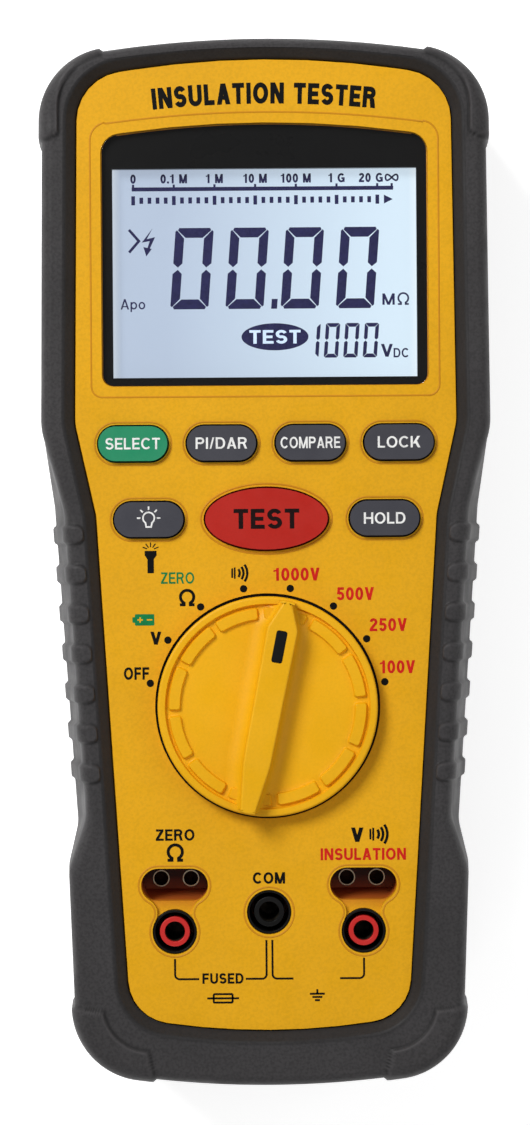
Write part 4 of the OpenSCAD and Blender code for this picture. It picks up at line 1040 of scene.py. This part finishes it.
def face_legends():
    """Everything printed on the yellow face."""
    black, red, green = Shape(), Shape(), Shape()
    z0, z1 = FACE_Z - LEGEND_SINK, FACE_Z + PRINT_T
    black.word("INSULATION TESTER", 0.1, 94.45, 4.25, FACE_Z, 45.3, 0.235, 230)
    # Dots and names round the selector, clockwise from the lower left
    dot_ring = KNOB_R + 2.0
    for k in range(MARKS):
        turn = math.radians(MARK_TURN * (k - 3.5))
        black.prism(circle(KNOB.x + dot_ring * math.sin(turn), KNOB.y + dot_ring * math.cos(turn),
                           0.75, 20), z0, z1)
    black.word("OFF", -26.4, -22.4, 2.5, FACE_Z, 5.1, 0.2)
    black.word("V", -22.45, -15.3, 2.6, FACE_Z, 2.2, 0.2)
    omega(black, -16.1, -7.3, 3.2, 0.6, FACE_Z)
    beeper(black, -5.7, -2.3, 3.2, FACE_Z)
    for text, x, y, width in (("1000V", 6.0, -2.6, 9.3), ("500V", 17.8, -6.6, 7.5),
                              ("250V", 24.4, -12.9, 7.5), ("100V", 26.2, -21.4, 7.1)):
        red.word(text, x, y, 2.6, FACE_Z, width, 0.2)
    green.word("ZERO", -18.0, -3.2, 2.3, FACE_Z, 6.7, 0.16)
    # Battery sign
    cell_x, cell_y = -24.7, -11.6
    green.prism(rounded_box(cell_x, cell_y, 3.9, 2.3, 0.2, 3), z0, z1)
    green.prism(rounded_box(cell_x - 2.15, cell_y, 0.6, 1.1, 0.1, 2), z0, z1 + 0.003)
    poles = Shape()
    poles.prism(rounded_box(cell_x + 1.0, cell_y, 1.1, 0.3, 0.05, 2), z0, z1 + 0.012)
    poles.prism(rounded_box(cell_x - 0.9, cell_y, 1.1, 0.3, 0.05, 2), z0, z1 + 0.012)
    poles.prism(rounded_box(cell_x - 0.9, cell_y, 0.3, 1.1, 0.05, 2), z0, z1 + 0.015)
    poles.build("legend_poles", "yellow_case", "case", "yellow_case")
    # Torch sign
    torch_x, torch_y = -23.4, 2.0
    black.prism([(torch_x + side * half, torch_y + up) for side, row in
                 ((1, ((1.2, 0.3), (1.2, -0.6), (0.65, -1.4), (0.65, -4.2))),
                  (-1, ((0.65, -4.2), (0.65, -1.4), (1.2, -0.6), (1.2, 0.3))))
                 for half, up in row][::-1], z0, z1)
    for angle in (20, 55, 90, 125, 160):
        c, s = math.cos(math.radians(angle)), math.sin(math.radians(angle))
        black.stroke([(torch_x + 0.75 * c, torch_y + 0.55 + 0.5 * s),
                      (torch_x + 1.7 * c, torch_y + 0.55 + 1.45 * s)], 0.22, z0, z1 + 0.003)
    # Names of the jacks
    name_y = high("probe_contacts").y + 8.2
    black.word("ZERO", OHM.x + 0.2, name_y, 2.3, FACE_Z, 7.8)
    omega(black, OHM.x + 0.2, name_y - 3.7, 3.4, 0.62, FACE_Z)
    black.word("V", VOLT.x - 1.2, name_y - 0.2, 2.9, FACE_Z, 2.5, 0.21)
    beeper(black, VOLT.x + 2.9, name_y - 0.1, 3.6, FACE_Z)
    red.word("INSULATION", VOLT.x, name_y - 4.1, 2.4, FACE_Z, 17.2, 0.2)
    black.word("COM", COM.x, COM.y + 6.9, 2.3, FACE_Z, 6.5, 0.2)
    black.word("FUSED", -9.4, -84.0, 2.1, FACE_Z, 8.3, 0.2)
    # Lines from the jacks to that note, and to the earth sign
    line, note, turn_r = 0.4, -84.1, 0.9
    for side in (-1, 1):
        outer = OHM.x if side < 0 else VOLT.x
        black.stroke([(outer, OHM.y - 5.4)]
                     + arc(outer - side * turn_r, note + turn_r, turn_r,
                           90 - side * 90, 90 - side * 180, 6)
                     + [(side * 14.2, note)], line, z0, z1)
        middle_x = COM.x + side * 0.6
        black.stroke([(middle_x, COM.y - 5.6)]
                     + arc(middle_x + side * turn_r, note + turn_r, turn_r,
                           90 + side * 90, 90 + side * 180, 6)
                     + [(side * 4.8, note)], line, z0, z1)
    earth_x, earth_y = 9.6, -87.2
    black.stroke([(earth_x, earth_y + 0.9), (earth_x, earth_y)], line, z0, z1)
    for k, half in enumerate((1.5, 1.0, 0.5)):
        black.stroke([(earth_x - half, earth_y - 0.65 * k), (earth_x + half, earth_y - 0.65 * k)],
                     line, z0, z1)
    # A plain fuse sign where the printed warning was
    fuse_y = -88.0
    black.stroke([(-12.6, fuse_y), (-6.2, fuse_y)], line, z0, z1)
    black.stroke(rounded_box(-9.4, fuse_y, 3.8, 1.7, 0.2, 2), line, z0, z1, True)
    black.build("legend_black", "ink_black", "case", "black_plastic")
    red.build("legend_red", "ink_red", "case", "button_red")
    green.build("legend_green", "ink_green", "case", "button_green")


# What each button says, and how wide
BUTTON_WORDS = {"select_button": ("SELECT", 11.0), "index_button": ("PI/DAR", 10.4),
                "compare_button": ("COMPARE", 12.0), "lock_button": ("LOCK", 8.6),
                "hold_button": ("HOLD", 8.4)}


def button_legends():
    """White words on the grey and green buttons, the test word, and the light's sign."""
    for node, (text, width) in BUTTON_WORDS.items():
        at, word = middle(node), Shape()
        word.word(text, at.x, at.y, 2.3, high(node).z, width, 0.16)
        word.build("legend_" + node, "ink_white", node, "white_plastic")
    at, word = middle("test_button"), Shape()
    word.word("TEST", at.x, at.y, 4.0, high("test_button").z, 13.2, 0.2)
    word.build("legend_test_button", "ink_dark_red", "test_button", "black_plastic")
    # A lamp with rays
    at, lamp = middle("light_button"), Shape()
    z0, z1 = high("light_button").z - LEGEND_SINK, high("light_button").z + PRINT_T
    bulb = arc(at.x, at.y + 0.3, 1.15, -55, 235, 20)
    bulb = [(at.x + 0.5, at.y - 1.5)] + bulb + [(at.x - 0.5, at.y - 1.5)]
    lamp.stroke(bulb, 0.32, z0, z1, True)
    for angle in (0, 45, 90, 135, 180):
        c, s = math.cos(math.radians(angle)), math.sin(math.radians(angle))
        lamp.stroke([(at.x + 1.65 * c, at.y + 0.3 + 1.65 * s),
                     (at.x + 2.35 * c, at.y + 0.3 + 2.35 * s)], 0.3, z0, z1)
    lamp.build("legend_light_button", "ink_white", "light_button", "white_plastic")


# ---- Display ----

# Segments of a digit that light for each figure: top, upper left and right, middle,
# lower left and right, bottom
FIGURES = {"0": (1, 1, 1, 0, 1, 1, 1), "1": (0, 0, 1, 0, 0, 1, 0)}
# Slant in degrees, and half the gap between segments as a share of their thickness
DIGIT_LEAN = 4.3
GAP_SHARE = 0.07


def digit(shape, figure, x, y, w, h, t, z0, z1):
    """One seven-segment figure with its lower left corner at x, y."""
    gap = t * GAP_SHARE
    lean = math.tan(math.radians(DIGIT_LEAN))

    def put(outline):
        shape.prism([(x + px + py * lean, y + py) for px, py in outline], z0, z1)

    top, upper_l, upper_r, mid, lower_l, lower_r, bottom = FIGURES[figure]
    cut, point = t * 0.3, t * 0.42
    for lit, y_out, y_in in ((top, h, h - t), (bottom, 0, t)):
        if lit:
            y_corner, corner = y_out + (y_in - y_out) * 0.25, cut * 0.6 + gap
            put([(cut + gap, y_out), (w - cut - gap, y_out), (w - corner, y_corner),
                 (w - t - gap, y_in), (t + gap, y_in), (corner, y_corner)])
    if mid:
        put([(t / 2, h / 2), (t, h / 2 + t / 2), (w - t, h / 2 + t / 2), (w - t / 2, h / 2),
             (w - t, h / 2 - t / 2), (t, h / 2 - t / 2)])
    for lit, side, turn, upper in ((upper_l, 0, 1, 1), (upper_r, w, -1, 1),
                                   (lower_l, 0, 1, -1), (lower_r, w, -1, -1)):
        if lit:
            end, mid_y = h / 2 + upper * h / 2, h / 2 + upper * gap * 1.6
            put([(side, end - upper * (cut + gap)),
                 (side + turn * cut * 0.5, end - upper * (cut * 0.5 + gap)),
                 (side + turn * (t - gap), end - upper * (t + gap)),
                 (side + turn * (t - gap), mid_y + upper * point),
                 (side + turn * t * 0.5, mid_y), (side, mid_y + upper * point)])


def display_content():
    """What the lit display shows: the bar scale, the reading, the test sign and the voltage."""
    z0, z1 = WINDOW.z - LEGEND_SINK, WINDOW.z + 0.02
    dark, pale = Shape(), Shape()
    left, pitch = -26.6, 8.26
    for k, text in enumerate(("0", "0.1 M", "1 M", "10 M", "100 M", "1 G", "20 G")):
        shift = -1.3 if text == "20 G" else 0
        dark.word(text, left + k * pitch + shift, WINDOW.y + 18.9, 1.85, WINDOW.z, None, 0.22)
    dark.stroke([(25.9 + 1.25 * math.cos(t), WINDOW.y + 18.9 + 0.6 * math.sin(2 * t))
                 for t in (math.tau * (i + 0.5) / 32 for i in range(32))], 0.35, z0, z1, True)
    bar_y = WINDOW.y + 16.8
    dark.prism(rounded_box(-0.35, bar_y, 53.1, 0.8, 0.1, 2), z0, z1)
    for k in range(8):
        x = left + k * pitch if k < 7 else 25.9
        dark.prism(rounded_box(x, bar_y + 0.3, 0.45, 1.3, 0.05, 2), z0, z1 + 0.003)
    tick_y = WINDOW.y + 14.5
    for k in range(31):
        tall = 1.85 if k % 5 == 0 else 1.25
        dark.prism(rounded_box(left + k * pitch / 5, tick_y, 0.75, tall, 0.05, 2), z0, z1)
    dark.prism([(24.3, tick_y - 0.9), (26.1, tick_y), (24.3, tick_y + 0.9)], z0, z1)
    # Reading
    for k in range(4):
        digit(dark, "0", -19.25 + 11.2 * k, WINDOW.y - 7.6, 7.75, 16.5, 2.0, z0, z1)
    dark.prism([(1.25, WINDOW.y - 7.6), (2.45, WINDOW.y - 7.6), (2.6, WINDOW.y - 5.6),
                (1.4, WINDOW.y - 5.6)], z0, z1)
    dark.word("M", 25.1, WINDOW.y - 5.8, 2.3, WINDOW.z, 2.5, 0.16)
    omega(dark, 28.1, WINDOW.y - 5.8, 2.4, 0.36, WINDOW.z)
    dark.word("Apo", -26.8, WINDOW.y - 6.5, 2.1, WINDOW.z, 5.0, 0.13)
    # Arrow and lightning
    dark.stroke([(-27.5, WINDOW.y + 8.6), (-25.5, WINDOW.y + 6.3), (-27.5, WINDOW.y + 4.0)],
                0.55, z0, z1)
    bolt_y = WINDOW.y + 6.2
    dark.prism([(-22.7, bolt_y + 2.7), (-24.9, bolt_y - 0.2), (-23.3, bolt_y + 0.1),
                (-24.0, bolt_y - 2.0), (-23.5, bolt_y - 1.9), (-22.2, bolt_y + 0.9),
                (-23.9, bolt_y + 0.5)], z0, z1)
    dark.prism([(-24.6, bolt_y - 1.1), (-24.0, bolt_y - 3.0), (-22.9, bolt_y - 1.5)],
               z0, z1 + 0.003)
    # Test sign
    dark.prism(ellipse(2.0, WINDOW.y - 13.3, 6.8, 2.75), z0, z1)
    pale.word("TEST", 2.0, WINDOW.y - 13.3, 2.75, z1, 10.4, 0.19)
    # Test voltage
    for k, figure in enumerate("1000"):
        digit(dark, figure, 7.9 + 3.95 * k, WINDOW.y - 17.6, 2.9, 7.0, 0.78, z0, z1)
    dark.word("V", 24.7, WINDOW.y - 16.2, 2.6, WINDOW.z, 2.4, 0.17)
    dark.word("DC", 27.6, WINDOW.y - 16.7, 1.9, WINDOW.z, 3.1, 0.17)
    dark.build("display_segments", "display_blue", "case", "lcd_glass")
    pale.build("display_test_word", "display_pale", "case", "lcd_glass")


def lens_outline(d):
    """The display window's outline moved inwards by d: a rectangle with an arched top."""
    lens_low, lens_high = low("display_lens"), high("display_lens")
    w, top, bottom, arch = lens_high.x - d, lens_high.y - d, lens_low.y + d, 2.6
    big = (w * w + arch * arch) / (2 * arch)
    spread = math.degrees(math.asin((w - 3) / big))
    return (arc(w - 2.2, bottom + 2.2, 2.2, -90, 0, 6)
            + arc(w - 3.6, top - arch - 2.9, 3.6, 0, 80, 8)
            + arc(0, top - big, big, 90 - spread, 90 + spread, 30)
            + arc(3.6 - w, top - arch - 2.9, 3.6, 100, 180, 8)
            + arc(2.2 - w, bottom + 2.2, 2.2, 180, 270, 6))


def window_frame(name, outer, z0, z1, node=None):
    """A flat black frame round the opening over the display."""
    inner = [(max(-OPENING_W / 2, min(OPENING_W / 2, px * 1.3)),
              OPENING_Y + max(-OPENING_H / 2, min(OPENING_H / 2, (py - OPENING_Y) * 1.3)))
             for px, py in outer]
    n = len(outer)
    frame_shape = Shape()
    verts = [(*p, z) for z in (z0, z1) for ring in (outer, inner) for p in ring]
    faces = []
    for i in range(n):
        j = (i + 1) % n
        faces += [[i, j, n + j, n + i], [2 * n + i, 3 * n + i, 3 * n + j, 2 * n + j],
                  [i, 2 * n + i, 2 * n + j, j], [n + i, n + j, 3 * n + j, 3 * n + i]]
    frame_shape.add(verts, faces)
    piece = frame_shape.build(name, "mask_black", "case", "black_plastic")
    if node:
        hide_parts(node)


def window_frames():
    """The print on the back of the lens, and the bezel round the display below it."""
    bottom = low("display_lens").z
    window_frame("display_mask", lens_outline(0.12), bottom + 0.01, bottom + 0.04)
    at, size = middle("display_bezel"), high("display_bezel") - low("display_bezel")
    window_frame("window_bezel", rounded_box(at.x, at.y, size.x, size.y, 0.9, 16),
                 low("display_bezel").z, high("display_bezel").z, "display_bezel")


# ---- Fine moulded lines on the face ----

# Section of a ridge: offset across it and height
RIDGE = [(-0.22, -0.05), (-0.17, 0.03), (0, 0.07), (0.17, 0.03), (0.22, -0.05)]
RING_NODES = ["select_button", "index_button", "compare_button", "lock_button",
              "light_button", "hold_button"]


def keyhole(x, grow):
    """Outline round an outer jack and the two-contact recess above it, joined by a waist."""
    end_x, up, ring_r, end_r, waist_r = 3.35, 9.4, 4.5 + grow, 3.4 + grow, 3.0 - grow
    apart = math.hypot(end_x, up)
    to_ring, to_end = ring_r + waist_r, end_r + waist_r
    along = (to_ring ** 2 - to_end ** 2 + apart ** 2) / (2 * apart)
    off = math.sqrt(to_ring ** 2 - along ** 2)
    waist_x = (along * end_x + off * up) / apart
    waist_y = (along * up - off * end_x) / apart
    to_waist = math.degrees(math.atan2(waist_y, waist_x))
    from_end = math.degrees(math.atan2(waist_y - up, waist_x - end_x))
    right = (arc(0, 0, ring_r, -90, to_waist, 20)[1:-1]
             + arc(waist_x, waist_y, waist_r, 180 + to_waist, 180 + from_end, 10)
             + arc(end_x, up, end_r, from_end, 90, 20)[1:])
    left = [(-px, py) for px, py in right[::-1]]
    return [(x + px, OHM.y + py) for px, py in [(0, -ring_r)] + right + left]


def knob_gap_shadow():
    """A black ring on the floor of the narrow gap round the knob: painted shadow in the gap."""
    inner, outer = KNOB_R - 0.5, KNOB_R + 0.57
    z0, z1 = FACE_Z - 0.69, FACE_Z - 0.55
    half = (outer - inner) / 2
    ring = Shape()
    ring.sweep(circle(KNOB.x, KNOB.y, inner + half, 96),
               [(-half, z0), (half, z0), (half, z1), (-half, z1)], 0)
    ring.build("knob_gap_shadow", "mask_black", "case", "black_plastic")


def face_lines():
    """Low ridges round the buttons, the window and the jacks, darker than the face: painted shade
    on the ridges.
    """
    lines = Shape()
    for node in RING_NODES:
        at, size = middle(node), high(node) - low(node)
        w, h = (13.9, 7.0) if size.x > size.y else (7.0, 13.9)
        lines.sweep(rounded_box(at.x, at.y, w + 1.6, h + 1.6, (h + 1.6) / 2, 14), RIDGE, FACE_Z)
    at = middle("test_button")
    lines.sweep(ellipse(at.x, at.y, 12.35 + 0.9, 6.2 + 0.9, 90), RIDGE, FACE_Z)
    lines.sweep(lens_outline(-2.2), RIDGE, FACE_Z)
    for x in (OHM.x, VOLT.x):
        lines.sweep(keyhole(x, 0.5), RIDGE, FACE_Z)
    lines.sweep(circle(COM.x, COM.y, 5.05, 60), RIDGE, FACE_Z)
    lines.build("face_lines", "ridge_painted_shade", "case", "yellow_case", True)


# ---- CAD nodes: finish and soft edges ----

# Width of the rounding of each node's edges
SOFT_EDGES = {"front_case": 0.22, "rear_case": 0.3, "tilt_stand": 0.4, "battery_cover": 0.3,
              "pointer_insert": 0.12, "display_lens": 0.15, "select_button": 0.4,
              "index_button": 0.4, "compare_button": 0.4, "lock_button": 0.4,
              "light_button": 0.4, "test_button": 0.5, "hold_button": 0.4,
              "ohm_jack_sleeve": 0.15, "volt_jack_sleeve": 0.15, "com_jack_sleeve": 0.15,
              "terminal_block": 0.12}


# Nodes that look a little different from the rest of their slot. The front moulding and the probe
# tubes have painted shade down in their recesses, and the terminal block a painted reflection on
# the recess floors.
OWN_LOOKS = {"jack_contacts": "dark_contact_metal", "probe_contacts": "probe_tubes",
             "front_case": "front_yellow", "terminal_block": "block_black"}


def finish_nodes():
    """Gives each CAD node its slot's look, and moulded edges where they show."""
    slots = {p["node"]: p["material_slot"] for p in frame["record"]["subparts"]}
    for node, piece in frame["nodes"].items():
        piece.data.materials.clear()
        piece.data.materials.append(LOOKS[OWN_LOOKS.get(node, slots[node])])
        if node in SOFT_EDGES:
            weld = piece.modifiers.new("weld", "WELD")
            weld.merge_threshold = 1e-6
            bevel = piece.modifiers.new("soft edges", "BEVEL")
            bevel.width = SOFT_EDGES[node] * MM
            bevel.segments = 3
            bevel.limit_method = "ANGLE"
            bevel.angle_limit = math.radians(40)
            bevel.use_clamp_overlap = True
            bevel.harden_normals = False


# ---- Room, light and camera ----

def studio():
    """A pale floor and soft lamps, the strongest from the upper left."""
    size = 2.0
    mesh = bpy.data.meshes.new("floor")
    mesh.from_pydata([(x * size, y * size, 0) for x, y in ((-1, -1), (1, -1), (1, 1), (-1, 1))],
                     [], [(0, 1, 2, 3)])
    floor = bpy.data.objects.new("floor", mesh)
    bpy.context.scene.collection.objects.link(floor)
    floor.location.z = -0.0003
    look = Look("floor", (0.86, 0.86, 0.86, 1), 0.8)
    look.mottle(3, 0.01)
    look.set(emission_color=(1, 1, 1, 1), emission_strength=0.7)
    mesh.materials.append(look.material)
    world = bpy.data.worlds.new("studio")
    world.use_nodes = True
    world.node_tree.nodes["Background"].inputs["Color"].default_value = (1, 1, 1, 1)
    world.node_tree.nodes["Background"].inputs["Strength"].default_value = 0.2
    bpy.context.scene.world = world
    bpy.context.scene.view_settings.view_transform = "Standard"
    for name, place, power, width in (("key", (-0.5, 0.55, 0.85), 9.9, 0.42),
                                      ("fill", (0.8, 0.1, 0.7), 1.7, 0.6),
                                      ("front", (-0.1, -0.8, 0.6), 1.3, 0.6)):
        lamp = bpy.data.lights.new(name, "AREA")
        lamp.energy = power
        lamp.size = width
        lit = bpy.data.objects.new(name, lamp)
        lit.location = place
        lit.rotation_euler = (-Vector(place)).to_track_quat("-Z", "Y").to_euler()
        bpy.context.scene.collection.objects.link(lit)


def camera():
    """Straight above the face, turned a little about the line of sight."""
    away, field = 0.650, 0.2268
    data = bpy.data.cameras.new("camera")
    data.sensor_width = 36
    data.lens = data.sensor_width / 2 / (field / 2 / away)
    eye = bpy.data.objects.new("camera", data)
    eye.location = (-0.35 * MM, -0.2 * MM, FACE_Z * MM + away)
    eye.rotation_euler = (0, 0, math.radians(-0.4))
    bpy.context.scene.collection.objects.link(eye)
    bpy.context.scene.camera = eye


finish_nodes()
holster()
knob()
face_legends()
button_legends()
display_content()
window_frames()
face_lines()
knob_gap_shadow()
studio()
camera()
